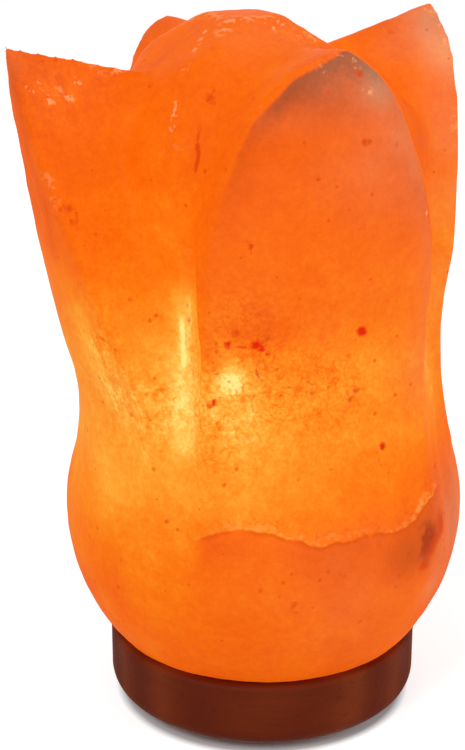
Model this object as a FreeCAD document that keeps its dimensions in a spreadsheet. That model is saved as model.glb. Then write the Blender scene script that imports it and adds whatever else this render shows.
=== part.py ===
import FreeCAD, Part

import math
import os
import re

import Sketcher

# Salt crystal lamp: a tulip carved from rock salt, screwed to a turned wooden base.
# A lamp holder on spring wings slides up into one bore through base and crystal.
# Frame: millimetres, +Z up, origin on the table under the axis of the base,
# -Y is the front. Azimuths are measured from the front (-Y) towards +X.

CELLS = {
    "wooden base": {
        "base_radius": 50,
        "base_thickness": 22,
        "base_bottom_round": 7,
        "base_top_round": 1.5,
    },
    "bore through base and crystal": {
        "bore_radius": 21,
        "bore_roof_z": 150,
        "bore_roof_chamfer": 6,
        "channel_width": 8,
        "channel_depth": 9,
        "cut_overrun": 5,
    },
    "non-slip ring": {
        "ring_proud": 2,
        "ring_inner_radius": 36.5,
        "ring_width": 5,
        "ring_recess": 1,
        "ring_round": 0.6,
        "ring_gap": 12,
    },
    "screws that hold the crystal": {
        "screw_count": 4,
        "screw_circle": 31,
        "screw_azimuth": 45,
        "screw_radius": 1.75,
        "screw_length": 32,
        "screw_head_radius": 3.5,
        "screw_head_height": 2.4,
        "screw_point": 3,
        "screw_tip_radius": 0.3,
        "screw_clearance": 0.25,
        "counterbore_radius": 4,
        "counterbore_depth": 6,
        "anchor_radius": 3,
        "anchor_length": 20,
        "anchor_floor": 2,
        "anchor_flange_radius": 4,
        "anchor_flange": 1,
        "fit_clearance": 0.05,
    },
    "crystal": {
        "belly_radius": 63.7,
        "belly_foot_radius": 47.9,
        "belly_shoulder_radius": 59.8,
        "belly_shoulder_z": 88,
        "flower_radius": 95,
        "petal_run": 105,
        "face_overhang": 12,
        "heart_overhang": 10,
        "flower_start_z": 120,
        "crystal_top": 226,
        "heart_start_radius": 64.5,
        "heart_start_z": 66,
        "heart_waist_radius": 50,
        "heart_waist_z": 130,
        "heart_shoulder_z": 188,
        "bud_neck_radius": 40,
        "bud_neck_z": 204,
        "bud_top_z": 222,
        "bud_crown_radius": 22,
        "bud_crown_round": 32,
    },
    "facets of the bud": {
        "bud_azimuth": 27,
        "bud_shift_side": -8.5,
        "bud_shift_front": 2,
        "bud_top_half": 9.5,
        "bud_facet_slope": 1.25,
    },
    "grooves between the petals": {
        "groove_radius": 5,
        "groove_low_z": 50,
        "groove_low_reach": 64.2,
        "groove_high_z": 158,
        "groove_high_reach": 47,
        "groove_azimuth_1": -23.5,
        "groove_azimuth_2": 70,
        "groove_azimuth_3": 162,
        "groove_azimuth_4": -108,
    },
    "lamp holder": {
        "holder_bottom_z": 28,
        "cap_height": 12,
        "cap_wall": 1.6,
        "cap_floor": 2,
        "cap_round": 2.5,
        "cap_spigot": 5,
        "cap_flutes": 16,
        "cap_flute_radius": 0.9,
        "cap_flute_depth": 0.5,
        "cap_flute_height": 7,
        "sleeve_radius": 13.5,
        "sleeve_bore_radius": 9.6,
        "sleeve_length": 44,
        "sleeve_lip": 3,
        "sleeve_lip_bore_radius": 8.4,
        "sleeve_seat_z": 50,
        "sleeve_seat_height": 2,
        "sleeve_seat_bore_radius": 8,
        "sleeve_round": 1,
        "holder_clearance": 0.1,
        "inlet_radius": 3.3,
        "bush_wall": 1.1,
        "bush_flange_reach": 1.6,
        "bush_flange": 1.2,
    },
    "contacts in the holder": {
        "block_height": 6,
        "brass_sheet": 0.5,
        "shell_height": 22,
        "shell_floor_bore": 4,
        "tongue_width": 3.6,
        "tongue_start_x": 3.5,
        "tongue_bend_x": 0.6,
        "tongue_rise_x": 1.2,
        "tongue_end_x": 3.2,
        "terminal_inner_x": 1.4,
        "terminal_length": 5.2,
        "terminal_width": 4,
        "terminal_height": 7,
        "terminal_screw_x": 4,
        "terminal_screw_radius": 1.2,
        "terminal_screw_grip": 5,
        "terminal_head_radius": 2,
        "terminal_head_height": 1.8,
        "wire_hole_radius": 1,
        "wire_hole_rise": 2.5,
        "rivet_radius": 0.6,
        "rivet_sink": 1,
        "rivet_head_radius": 1,
        "rivet_head_height": 0.4,
        "shell_rivet_x": 5.6,
        "centre_rivet_x": 2.3,
    },
    "spring clip": {
        "strap_wall": 0.7,
        "strap_bottom_z": 62,
        "strap_height": 12,
        "shelf_reach": 1.2,
        "shelf_thickness": 0.8,
        "wing_width": 10,
        "wing_thickness": 0.6,
        "wing_gap": 0.3,
        "wing_bow": 45,
        "wing_elbow_drop": 17,
        "wing_tail_drop": 25,
        "wing_tail_inset": 2,
        "wing_clearance": 0.3,
    },
    "bulb": {
        "bulb_seat_z": 60,
        "bulb_seat_gap": 0.3,
        "thread_clearance": 0.3,
        "tip_radius": 2.4,
        "tip_height": 0.8,
        "insulator_radius": 4.1,
        "insulator_height": 2.2,
        "insulator_flange_radius": 4.9,
        "insulator_flange": 1,
        "bulb_cap_radius": 7,
        "bulb_cap_wall": 0.4,
        "bulb_cap_height": 24,
        "bulb_cap_taper": 1.5,
        "neck_start_z": 74,
        "neck_end_z": 87,
        "glass_radius": 11,
        "glass_wall": 0.8,
        "glass_shoulder_z": 95,
        "glass_shoulder_round": 9,
        "glass_crown_z": 116,
        "glass_clearance": 0.2,
        "stem_flange": 0.8,
        "stem_wall": 0.9,
        "stem_foot_radius": 4.4,
        "stem_press_z": 90,
        "stem_press_radius": 2.6,
        "stem_button_z": 92.5,
        "stem_button_radius": 1,
        "stem_top_z": 95,
        "lead_radius": 0.3,
        "lead_foot_x": 1.8,
        "lead_foot_z": 89,
        "lead_bend_z": 97,
        "filament_half": 6,
        "filament_end_z": 105,
        "filament_rise": 5,
        "filament_radius": 0.35,
        "filament_gap": 0.25,
        "support_radius": 0.2,
    },
}

# Each petal is an arch-shaped prism that runs outwards, trimmed by a hollow-ground face.
# azimuth: its direction; rise: how much its ridge rises per mm outwards
# bend: radius of the face in plan; ledge, middle, tip: distances of the face from the axis
# scoop: radius of the hollow from ledge to middle; crest: radius from middle to tip
# left, right: half widths at the spring of the arch; shoulders: half widths at the crown
PETALS = {
    "front": {
        "azimuth": 27, "rise": 0.12, "bend": 80,
        "ledge": 61.9, "ledge_z": 77, "scoop": 144,
        "middle": 55, "middle_z": 150, "crest": 330, "tip": 48.5, "tip_z": 217,
        "left": 42.5, "right": 32, "spring_z": 150, "side_round": 95,
        "shoulder_left": 31, "shoulder_right": 19.5, "shoulder_z": 196, "crown_round": 38,
    },
    "left": {
        "azimuth": -63, "rise": 0.24, "bend": 70,
        "ledge": 61.8, "ledge_z": 80, "scoop": 62,
        "middle": 62.2, "middle_z": 122, "crest": 3000, "tip": 84, "tip_z": 218.5,
        "left": 34, "right": 34, "spring_z": 104, "side_round": 900,
        "shoulder_left": 9, "shoulder_right": 7, "shoulder_z": 188, "crown_round": 60,
    },
    "back": {
        "azimuth": -147, "rise": 0.2, "bend": 75,
        "ledge": 61.8, "ledge_z": 80, "scoop": 140,
        "middle": 57, "middle_z": 149, "crest": 700, "tip": 61, "tip_z": 215.5,
        "left": 36, "right": 29, "spring_z": 138, "side_round": 110,
        "shoulder_left": 13, "shoulder_right": 11.5, "shoulder_z": 206, "crown_round": 16,
    },
    "right": {
        "azimuth": 117, "rise": 0.3, "bend": 70,
        "ledge": 61.8, "ledge_z": 80, "scoop": 120,
        "middle": 55.9, "middle_z": 149, "crest": 2000, "tip": 58.5, "tip_z": 223,
        "left": 36, "right": 34, "spring_z": 150, "side_round": 110,
        "shoulder_left": 25, "shoulder_right": 23, "shoulder_z": 196, "crown_round": 55,
    },
}
for petal_name, petal_sizes in PETALS.items():
    CELLS[petal_name + " petal"] = {
        petal_name + "_" + key: size for key, size in petal_sizes.items()
    }

# Heights and radii that several pieces share, as formulas of the named sizes.
BASE_BOTTOM = "ring_proud"
BASE_TOP = "(ring_proud + base_thickness)"
RING_OUTER = "(ring_inner_radius + ring_width)"
SCREW_SEAT = "(ring_proud + counterbore_depth)"
CAP_TOP = "(holder_bottom_z + cap_height)"
SLEEVE_TOP = "(holder_bottom_z + cap_height + sleeve_length)"
BLOCK_TOP = "(sleeve_seat_z + block_height)"
STRAP_OUTER = "(sleeve_radius + holder_clearance + strap_wall)"
STRAP_TOP = "(strap_bottom_z + strap_height)"
SHELF_END = "(sleeve_radius + holder_clearance + strap_wall + shelf_reach)"
SHELL_INNER = "(bulb_cap_radius + thread_clearance)"
TERMINAL_BOTTOM = "(sleeve_seat_z - terminal_height)"
INSULATOR_BOTTOM = "(bulb_seat_z + tip_height)"
CAP_FLANGE_SEAT = "(bulb_seat_z + tip_height + insulator_height - insulator_flange)"
BULB_CAP_BOTTOM = "(" + CAP_FLANGE_SEAT + " - bulb_cap_wall)"
NECK_OUTER = "(bulb_cap_radius - bulb_cap_wall - glass_clearance)"
NECK_INNER = "(bulb_cap_radius - bulb_cap_wall - glass_clearance - glass_wall)"

document = FreeCAD.newDocument("salt_crystal_lamp")
sheet = document.addObject("Spreadsheet::Sheet", "Sizes")
pieces = []


def fill_sheet():
    """One row per size: its name and its value in millimetres or degrees."""
    row = 1
    for group, sizes in CELLS.items():
        sheet.set("A%d" % row, group)
        row += 1
        for alias, value in sizes.items():
            sheet.set("A%d" % row, alias)
            sheet.set("B%d" % row, str(value))
            sheet.setAlias("B%d" % row, alias)
            row += 1
    document.recompute()


def in_sheet(formula):
    """Point every size name of a formula at its cell."""
    known = {alias for sizes in CELLS.values() for alias in sizes}
    return re.sub(
        r"[A-Za-z_][A-Za-z_0-9]*",
        lambda word: "Sizes." + word.group() if word.group() in known else word.group(),
        formula,
    )


def value_of(formula):
    return float(sheet.evalExpression(in_sheet(formula)))


def bind(thing, prop, formula):
    """Tie a property to its formula; a plain 0 stays as it is."""
    if formula != "0":
        thing.setExpression(prop, in_sheet(formula))


# ---------------------------------------------------------------- sketches

def arc_between(start, end, radius):
    """Shorter arc between two points; a positive radius bulges to the right of the travel."""
    chord = end - start
    right = FreeCAD.Vector(chord.y, -chord.x, 0).normalize()
    if radius < 0:
        right = right * -1
    depth = math.sqrt(max(radius * radius - chord.Length ** 2 / 4, 0))
    centre = (start + end) * 0.5 - right * depth
    circle = Part.Circle(centre, FreeCAD.Vector(0, 0, 1), abs(radius))
    first, last = (start, end) if radius > 0 else (end, start)
    begin = math.atan2(first.y - centre.y, first.x - centre.x)
    finish = math.atan2(last.y - centre.y, last.x - centre.x)
    if finish < begin:
        finish += 2 * math.pi
    return Part.ArcOfCircle(circle, begin, finish)


def hold_point(sketch, geometry, point, x, y):
    """Fix a point of the sketch at formulas x, y."""
    for kind, formula in (("DistanceX", x), ("DistanceY", y)):
        number = sketch.addConstraint(
            Sketcher.Constraint(kind, -1, 1, geometry, point, value_of(formula))
        )
        bind(sketch, "Constraints[%d]" % number, formula)


def hold_radius(sketch, geometry, radius):
    number = sketch.addConstraint(Sketcher.Constraint("Radius", geometry, value_of(radius)))
    bind(sketch, "Constraints[%d]" % number, radius)


def draw_outline(sketch, corners):
    """Closed outline through corners (x, y), or (x, y, side, radius) where an arc ends.

    Side +1 bulges to the right of the travel, which is outwards on a counterclockwise outline.
    """
    points = [FreeCAD.Vector(value_of(c[0]), value_of(c[1]), 0) for c in corners]
    ends = []
    for first in range(len(corners)):
        last = (first + 1) % len(corners)
        if len(corners[last]) == 2:
            number = sketch.addGeometry(Part.LineSegment(points[first], points[last]))
            ends.append((number, 1, 2))
            continue
        side, radius = corners[last][2:]
        arc = arc_between(points[first], points[last], side * value_of(radius))
        number = sketch.addGeometry(arc)
        ends.append((number, 1, 2) if side > 0 else (number, 2, 1))
        hold_radius(sketch, number, radius)
    for corner, (number, start, _) in zip(corners, ends):
        hold_point(sketch, number, start, *corner[:2])
    for before, after in zip(ends, ends[1:] + ends[:1]):
        sketch.addConstraint(
            Sketcher.Constraint("Coincident", before[0], before[2], after[0], after[1])
        )


def draw_box(sketch, x0, x1, y0, y1):
    draw_outline(sketch, [(x0, y0), (x1, y0), (x1, y1), (x0, y1)])


def draw_circle(sketch, x, y, radius):
    centre = FreeCAD.Vector(value_of(x), value_of(y), 0)
    number = sketch.addGeometry(Part.Circle(centre, FreeCAD.Vector(0, 0, 1), value_of(radius)))
    hold_point(sketch, number, 3, x, y)
    hold_radius(sketch, number, radius)


def draw_axis(sketch, start, end):
    """Construction line that a revolution turns about."""
    points = [FreeCAD.Vector(value_of(x), value_of(y), 0) for x, y in (start, end)]
    number = sketch.addGeometry(Part.LineSegment(*points), True)
    hold_point(sketch, number, 1, *start)
    hold_point(sketch, number, 2, *end)


# ---------------------------------------------------------------- features of a body

def new_body(name):
    return document.addObject("PartDesign::Body", name)


def origin_feature(body, role):
    return next(f for f in body.Origin.OriginFeatures if f.Role == role)


def body_sketch(body, name, role, height=None):
    """Sketch on one of the body's own planes, moved along the plane's normal."""
    sketch = body.newObject("Sketcher::SketchObject", name)
    sketch.AttachmentSupport = [(origin_feature(body, role), "")]
    sketch.MapMode = "FlatFace"
    if height:
        bind(sketch, "AttachmentOffset.Base.z", height)
    document.recompute()
    return sketch


def turn(body, name, corners, kind="PartDesign::Revolution", axis_x=None):
    """Turn an outline of radii and heights about the Z axis, or about a line beside it."""
    sketch = body_sketch(body, name + "_outline", "XZ_Plane")
    draw_outline(sketch, corners)
    axis = "V_Axis"
    if axis_x:
        draw_axis(sketch, (axis_x, "0"), (axis_x, "base_radius"))
        axis = "Axis0"
    feature = body.newObject(kind, name)
    feature.Profile = sketch
    feature.ReferenceAxis = (sketch, [axis])
    feature.Angle = 360
    document.recompute()
    return feature


def pad(body, name, sketch, length, midplane=False):
    feature = body.newObject("PartDesign::Pad", name)
    feature.Profile = sketch
    feature.Midplane = midplane
    bind(feature, "Length", length)
    document.recompute()
    return feature


def pocket(body, name, sketch, depth, midplane=False):
    """Cut upwards, along the sketch's normal, and make sure that something goes."""
    before = body.Shape.Volume
    feature = body.newObject("PartDesign::Pocket", name)
    feature.Profile = sketch
    feature.Midplane = midplane
    feature.Reversed = not midplane
    bind(feature, "Length", depth)
    document.recompute()
    if not body.Shape.Volume < before:
        raise RuntimeError(name + " cuts nothing")
    return feature


def repeat(body, name, feature, count):
    pattern = body.newObject("PartDesign::PolarPattern", name)
    pattern.Originals = [feature]
    pattern.Axis = (origin_feature(body, "Z_Axis"), [""])
    pattern.Angle = 360
    pattern.Occurrences = int(value_of(count))
    body.Tip = pattern
    document.recompute()


def rotate(thing, azimuth):
    """Turn a finished object about the Z axis by a size of the sheet."""
    thing.Placement = FreeCAD.Placement(
        FreeCAD.Vector(), FreeCAD.Rotation(FreeCAD.Vector(0, 0, 1), value_of(azimuth))
    )
    bind(thing, "Placement.Rotation.Angle", azimuth)


def lean(thing, axis, run, climb):
    """Tip an upright solid about a level axis, so that it runs this far along each climb."""
    angle = "atan(%s / %s)" % (run, climb)
    thing.Placement = FreeCAD.Placement(
        FreeCAD.Vector(), FreeCAD.Rotation(FreeCAD.Vector(*axis), value_of(angle))
    )
    bind(thing, "Placement.Rotation.Angle", angle)


def keep(piece, name):
    """A finished piece: its label names its file."""
    piece.Label = name
    pieces.append(piece)


# ---------------------------------------------------------------- base and its fasteners

def make_wood_base():
    body = new_body("wood_base")
    turn(body, "turning", [
        ("bore_radius", BASE_BOTTOM),
        ("base_radius - base_bottom_round", BASE_BOTTOM),
        ("base_radius", BASE_BOTTOM + " + base_bottom_round", 1, "base_bottom_round"),
        ("base_radius", BASE_TOP + " - base_top_round"),
        ("base_radius - base_top_round", BASE_TOP, 1, "base_top_round"),
        ("bore_radius", BASE_TOP),
    ])
    turn(body, "ring_seat", [
        ("ring_inner_radius", "0"),
        (RING_OUTER, "0"),
        (RING_OUTER, BASE_BOTTOM + " + ring_recess"),
        ("ring_inner_radius", BASE_BOTTOM + " + ring_recess"),
    ], "PartDesign::Groove")
    channel = body_sketch(body, "channel_outline", "XY_Plane", BASE_BOTTOM)
    draw_box(channel, "-channel_width / 2", "channel_width / 2", "0", "base_radius + cut_overrun")
    pocket(body, "cord_channel", channel, "channel_depth")
    for name, radius, depth in (
        ("screw_hole", "screw_radius + screw_clearance", "base_thickness"),
        ("counterbore", "counterbore_radius", "counterbore_depth"),
    ):
        sketch = body_sketch(body, name + "_outline", "XY_Plane", BASE_BOTTOM)
        draw_circle(
            sketch,
            "screw_circle * sin(screw_azimuth * 1deg)",
            "-screw_circle * cos(screw_azimuth * 1deg)",
            radius,
        )
        repeat(body, name + "s", pocket(body, name, sketch, depth), "screw_count")
    keep(body, "wood_base")


def make_non_slip_ring():
    body = new_body("non_slip_ring")
    turn(body, "ring", [
        ("ring_inner_radius + ring_round", "0", 1, "ring_round"),
        (RING_OUTER + " - ring_round", "0"),
        (RING_OUTER, "ring_round", 1, "ring_round"),
        (RING_OUTER, BASE_BOTTOM + " + ring_recess"),
        ("ring_inner_radius", BASE_BOTTOM + " + ring_recess"),
        ("ring_inner_radius", "ring_round"),
    ])
    gap = body_sketch(body, "gap_outline", "XY_Plane")
    draw_box(gap, "-ring_gap / 2", "ring_gap / 2", "0", RING_OUTER + " + cut_overrun")
    pocket(body, "gap_for_the_channel", gap, "ring_proud + ring_recess")
    keep(body, "non_slip_ring")


def make_base_screws():
    body = new_body("base_screws")
    seat, tip = SCREW_SEAT, "(" + SCREW_SEAT + " + screw_length)"
    screw = turn(body, "screw", [
        ("screw_circle", seat + " - screw_head_height"),
        ("screw_circle + screw_head_radius", seat + " - screw_head_height"),
        ("screw_circle + screw_head_radius", seat),
        ("screw_circle + screw_radius", seat),
        ("screw_circle + screw_radius", tip + " - screw_point"),
        ("screw_circle + screw_tip_radius", tip),
        ("screw_circle", tip),
    ], axis_x="screw_circle")
    repeat(body, "four_screws", screw, "screw_count")
    rotate(body, "screw_azimuth")
    keep(body, "base_screws")


def make_crystal_anchors():
    body = new_body("crystal_anchors")
    anchor = turn(body, "anchor", [
        ("screw_circle + screw_radius + fit_clearance", BASE_TOP),
        ("screw_circle + anchor_flange_radius", BASE_TOP),
        ("screw_circle + anchor_flange_radius", BASE_TOP + " + anchor_flange"),
        ("screw_circle + anchor_radius", BASE_TOP + " + anchor_flange"),
        ("screw_circle + anchor_radius", BASE_TOP + " + anchor_length"),
        ("screw_circle", BASE_TOP + " + anchor_length"),
        ("screw_circle", BASE_TOP + " + anchor_length - anchor_floor"),
        ("screw_circle + screw_radius + fit_clearance",
         BASE_TOP + " + anchor_length - anchor_floor"),
    ], axis_x="screw_circle")
    repeat(body, "four_anchors", anchor, "screw_count")
    rotate(body, "screw_azimuth")
    keep(body, "crystal_anchors")


# ---------------------------------------------------------------- crystal

def upright_sketch(name):
    """Sketch in the XZ plane, outside any body."""
    sketch = document.addObject("Sketcher::SketchObject", name)
    sketch.Placement = FreeCAD.Placement(
        FreeCAD.Vector(), FreeCAD.Rotation(FreeCAD.Vector(1, 0, 0), 90)
    )
    return sketch


def turned_solid(name, corners):
    sketch = upright_sketch(name + "_outline")
    draw_outline(sketch, corners)
    solid = document.addObject("Part::Revolution", name)
    solid.Source = sketch
    solid.Axis = FreeCAD.Vector(0, 0, 1)
    solid.Angle = 360
    solid.Solid = True
    return solid


def joined(kind, name, *operands):
    """Part boolean of two objects, or fusion of several."""
    result = document.addObject("Part::" + kind, name)
    if kind == "MultiFuse":
        result.Shapes = list(operands)
    else:
        result.Base, result.Tool = operands
    return result


def petal_prism(name):
    """Arch outline of one petal, run outwards along its rising ridge."""
    def at(height, distance):
        return "%s_%s - %s_rise * %s" % (name, height, name, distance)

    size = (name + "_{}").format
    spring = at("spring_z", size("middle"))
    shoulder = at("shoulder_z", "(" + size("middle") + " + " + size("tip") + ") / 2")
    tip = at("tip_z", size("tip"))
    sketch = upright_sketch(name + "_arch")
    draw_outline(sketch, [
        ("-" + size("left"), BASE_TOP),
        (size("right"), BASE_TOP),
        (size("right"), spring),
        (size("shoulder_right"), shoulder, 1, size("side_round")),
        ("0", tip, 1, size("crown_round")),
        ("-" + size("shoulder_left"), shoulder, 1, size("crown_round")),
        ("-" + size("left"), spring, 1, size("side_round")),
    ])
    prism = document.addObject("Part::Extrusion", name + "_prism")
    prism.Base = sketch
    prism.DirMode = "Custom"
    prism.Dir = FreeCAD.Vector(0, -1, value_of(size("rise")))
    bind(prism, "Dir.z", size("rise"))
    bind(prism, "LengthFwd", "petal_run")
    prism.Solid = True
    return prism


def petal_face(name):
    """Hollow-ground face: a profile turned about an axis that lies behind the petal."""
    size = (name + "_{}").format

    def out(distance):
        return "%s - %s + %s" % (size("bend"), size("middle"), distance)

    edge = "(belly_radius + face_overhang)"
    below = "(%s - (%s - %s))" % (size("ledge_z"), edge, size("ledge"))
    face = turned_solid(name + "_face", [
        ("0", "0"),
        (out(edge), "0"),
        (out(edge), below),
        (out(size("ledge")), size("ledge_z")),
        (out(size("middle")), size("middle_z"), -1, size("scoop")),
        (out(size("tip")), "crystal_top", 1, size("crest")),
        ("0", "crystal_top"),
    ])
    bind(face, "Placement.Base.y", size("bend") + " - " + size("middle"))
    return face


def groove_tool(number):
    """Ball-nosed cutter that leans in towards the top, between two petals."""
    inwards = "(groove_low_reach - groove_high_reach)"
    climb = "(groove_high_z - groove_low_z)"
    shank = document.addObject("Part::Cylinder", "groove_shank_%d" % number)
    bind(shank, "Radius", "groove_radius")
    bind(shank, "Height", "sqrt(%s ^ 2 + %s ^ 2)" % (inwards, climb))
    lean(shank, (-1, 0, 0), inwards, climb)
    bind(shank, "Placement.Base.y", "-(groove_low_reach + groove_radius)")
    bind(shank, "Placement.Base.z", "groove_low_z")
    ball = document.addObject("Part::Sphere", "groove_ball_%d" % number)
    bind(ball, "Radius", "groove_radius")
    bind(ball, "Placement.Base.y", "-(groove_high_reach + groove_radius)")
    bind(ball, "Placement.Base.z", "groove_high_z")
    cutter = joined("MultiFuse", "groove_%d" % number, shank, ball)
    rotate(cutter, "groove_azimuth_%d" % number)
    return cutter


def make_heart():
    """Inner bud: a turned core with four leaning facets at its top."""
    turned = turned_solid("heart_turning", [
        ("0", BASE_TOP),
        ("belly_radius + heart_overhang", BASE_TOP),
        ("belly_radius + heart_overhang", "heart_start_z"),
        ("heart_start_radius", "heart_start_z"),
        ("heart_waist_radius", "heart_waist_z"),
        ("heart_waist_radius", "heart_shoulder_z"),
        ("bud_neck_radius", "bud_neck_z"),
        ("bud_crown_radius", "bud_top_z", 1, "bud_crown_round"),
        ("0", "bud_top_z"),
    ])
    facets = document.addObject("Part::Wedge", "bud_facets")
    facets.Placement = FreeCAD.Placement(
        FreeCAD.Vector(), FreeCAD.Rotation(FreeCAD.Vector(1, 0, 0), 90)
    )
    spread = "(bud_top_half + bud_facet_slope * (bud_top_z - %s))" % BASE_TOP
    bind(facets, "Ymin", BASE_TOP)
    bind(facets, "Ymax", "bud_top_z")
    for axis, shift in (("X", "bud_shift_side"), ("Z", "bud_shift_front")):
        bind(facets, axis + "min", shift + " - " + spread)
        bind(facets, axis + "max", shift + " + " + spread)
        bind(facets, axis + "2min", shift + " - bud_top_half")
        bind(facets, axis + "2max", shift + " + bud_top_half")
    heart = joined("Common", "heart", turned, facets)
    rotate(heart, "bud_azimuth")
    return heart


def make_anchor_holes():
    """The room that the anchors and their flanges take up in the crystal."""
    body = new_body("anchor_holes")
    hole = turn(body, "anchor_hole", [
        ("screw_circle", "0"),
        ("screw_circle + anchor_flange_radius + fit_clearance", "0"),
        ("screw_circle + anchor_flange_radius + fit_clearance", BASE_TOP + " + anchor_flange"),
        ("screw_circle + anchor_radius + fit_clearance", BASE_TOP + " + anchor_flange"),
        ("screw_circle + anchor_radius + fit_clearance", BASE_TOP + " + anchor_length"),
        ("screw_circle", BASE_TOP + " + anchor_length"),
    ], axis_x="screw_circle")
    repeat(body, "four_anchor_holes", hole, "screw_count")
    rotate(body, "screw_azimuth")
    return body


def make_salt_crystal():
    blank = turned_solid("blank", [
        ("0", BASE_TOP),
        ("belly_foot_radius", BASE_TOP),
        ("belly_shoulder_radius", "belly_shoulder_z", 1, "belly_radius"),
        ("flower_radius", "flower_start_z"),
        ("flower_radius", "crystal_top"),
        ("0", "crystal_top"),
    ])
    petals = []
    offcuts = []
    for name in PETALS:
        prism = petal_prism(name)
        face = petal_face(name)
        for kind, result, group in (("Common", "_petal", petals), ("Cut", "_offcut", offcuts)):
            solid = joined(kind, name + result, prism, face)
            rotate(solid, name + "_azimuth")
            group.append(solid)
    flower = joined("MultiFuse", "flower", make_heart(), *petals)
    rough = joined("Common", "rough_crystal", blank, flower)
    bore = turned_solid("bore", [
        ("0", "0"),
        ("bore_radius", "0"),
        ("bore_radius", "bore_roof_z - bore_roof_chamfer"),
        ("bore_radius - bore_roof_chamfer", "bore_roof_z"),
        ("0", "bore_roof_z"),
    ])
    grooves = [groove_tool(number) for number in range(1, len(PETALS) + 1)]
    waste = joined("MultiFuse", "waste", bore, make_anchor_holes(), *offcuts, *grooves)
    keep(joined("Cut", "salt_crystal", rough, waste), "salt_crystal")


# ---------------------------------------------------------------- lamp holder

def make_holder_cap():
    body = new_body("holder_cap")
    spigot = "(sleeve_bore_radius - holder_clearance)"
    hole = "inlet_radius + bush_wall + holder_clearance"
    turn(body, "moulding", [
        (hole, "holder_bottom_z"),
        ("sleeve_radius - cap_round", "holder_bottom_z"),
        ("sleeve_radius", "holder_bottom_z + cap_round", 1, "cap_round"),
        ("sleeve_radius", CAP_TOP),
        (spigot, CAP_TOP),
        (spigot, CAP_TOP + " + cap_spigot"),
        (spigot + " - cap_wall", CAP_TOP + " + cap_spigot"),
        (spigot + " - cap_wall", "holder_bottom_z + cap_floor"),
        (hole, "holder_bottom_z + cap_floor"),
    ])
    sketch = body_sketch(body, "flute_outline", "XY_Plane", "holder_bottom_z")
    draw_circle(
        sketch, "sleeve_radius + cap_flute_radius - cap_flute_depth", "0", "cap_flute_radius"
    )
    flute = pocket(body, "flute", sketch, "cap_round + cap_flute_height")
    repeat(body, "flutes", flute, "cap_flutes")
    keep(body, "holder_cap")


def make_inlet_bush():
    body = new_body("inlet_bush")
    neck = "inlet_radius + bush_wall"
    flange = neck + " + bush_flange_reach"
    floor = "holder_bottom_z + cap_floor"
    turn(body, "grommet", [
        ("inlet_radius", "holder_bottom_z - bush_flange"),
        (flange, "holder_bottom_z - bush_flange"),
        (flange, "holder_bottom_z"),
        (neck, "holder_bottom_z"),
        (neck, floor),
        (flange, floor),
        (flange, floor + " + bush_flange"),
        ("inlet_radius", floor + " + bush_flange"),
    ])
    keep(body, "inlet_bush")


def make_holder_body():
    body = new_body("holder_body")
    turn(body, "sleeve", [
        ("sleeve_bore_radius", CAP_TOP),
        ("sleeve_radius", CAP_TOP),
        ("sleeve_radius", SLEEVE_TOP + " - sleeve_round"),
        ("sleeve_radius - sleeve_round", SLEEVE_TOP, 1, "sleeve_round"),
        ("sleeve_lip_bore_radius", SLEEVE_TOP),
        ("sleeve_lip_bore_radius", SLEEVE_TOP + " - sleeve_lip"),
        ("sleeve_bore_radius", SLEEVE_TOP + " - sleeve_lip"),
        ("sleeve_bore_radius", "sleeve_seat_z"),
        ("sleeve_seat_bore_radius", "sleeve_seat_z"),
        ("sleeve_seat_bore_radius", "sleeve_seat_z - sleeve_seat_height"),
        ("sleeve_bore_radius", "sleeve_seat_z - sleeve_seat_height"),
    ])
    keep(body, "holder_body")


def rivet_holes(body, name, places, bottom, depth):
    """Holes for the rivet shanks, at the given places along X."""
    sketch = body_sketch(body, name + "_outline", "XY_Plane", bottom)
    for x in places:
        draw_circle(sketch, x, "0", "rivet_radius + fit_clearance")
    pocket(body, name, sketch, depth)


def make_contact_block():
    body = new_body("contact_block")
    sketch = body_sketch(body, "block_outline", "XY_Plane", "sleeve_seat_z")
    draw_circle(sketch, "0", "0", "sleeve_bore_radius - holder_clearance")
    pad(body, "block", sketch, "block_height")
    places = ("shell_rivet_x", "-centre_rivet_x")
    rivet_holes(body, "rivet_holes", places, "sleeve_seat_z", "block_height")
    keep(body, "contact_block")


def make_screw_shell():
    body = new_body("screw_shell")
    outer = SHELL_INNER + " + brass_sheet"
    turn(body, "shell", [
        ("shell_floor_bore", BLOCK_TOP),
        (outer, BLOCK_TOP),
        (outer, BLOCK_TOP + " + shell_height"),
        (SHELL_INNER, BLOCK_TOP + " + shell_height"),
        (SHELL_INNER, BLOCK_TOP + " + brass_sheet"),
        ("shell_floor_bore", BLOCK_TOP + " + brass_sheet"),
    ])
    rivet_holes(body, "rivet_hole", ("shell_rivet_x",), BLOCK_TOP, "brass_sheet")
    keep(body, "screw_shell")


def make_centre_contact():
    body = new_body("centre_contact")
    sketch = body_sketch(body, "tongue_outline", "XZ_Plane")
    top = "(bulb_seat_z - bulb_seat_gap)"
    thickness = "brass_sheet"
    draw_outline(sketch, [
        ("-tongue_start_x", BLOCK_TOP),
        ("-tongue_bend_x", BLOCK_TOP),
        ("tongue_rise_x", top + " - " + thickness),
        ("tongue_end_x", top + " - " + thickness),
        ("tongue_end_x", top),
        ("tongue_rise_x - " + thickness + " / 2", top),
        ("-tongue_bend_x - " + thickness + " / 2", BLOCK_TOP + " + " + thickness),
        ("-tongue_start_x", BLOCK_TOP + " + " + thickness),
    ])
    pad(body, "tongue", sketch, "tongue_width", midplane=True)
    rivet_holes(body, "rivet_hole", ("-centre_rivet_x",), BLOCK_TOP, thickness)
    keep(body, "centre_contact")


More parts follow.
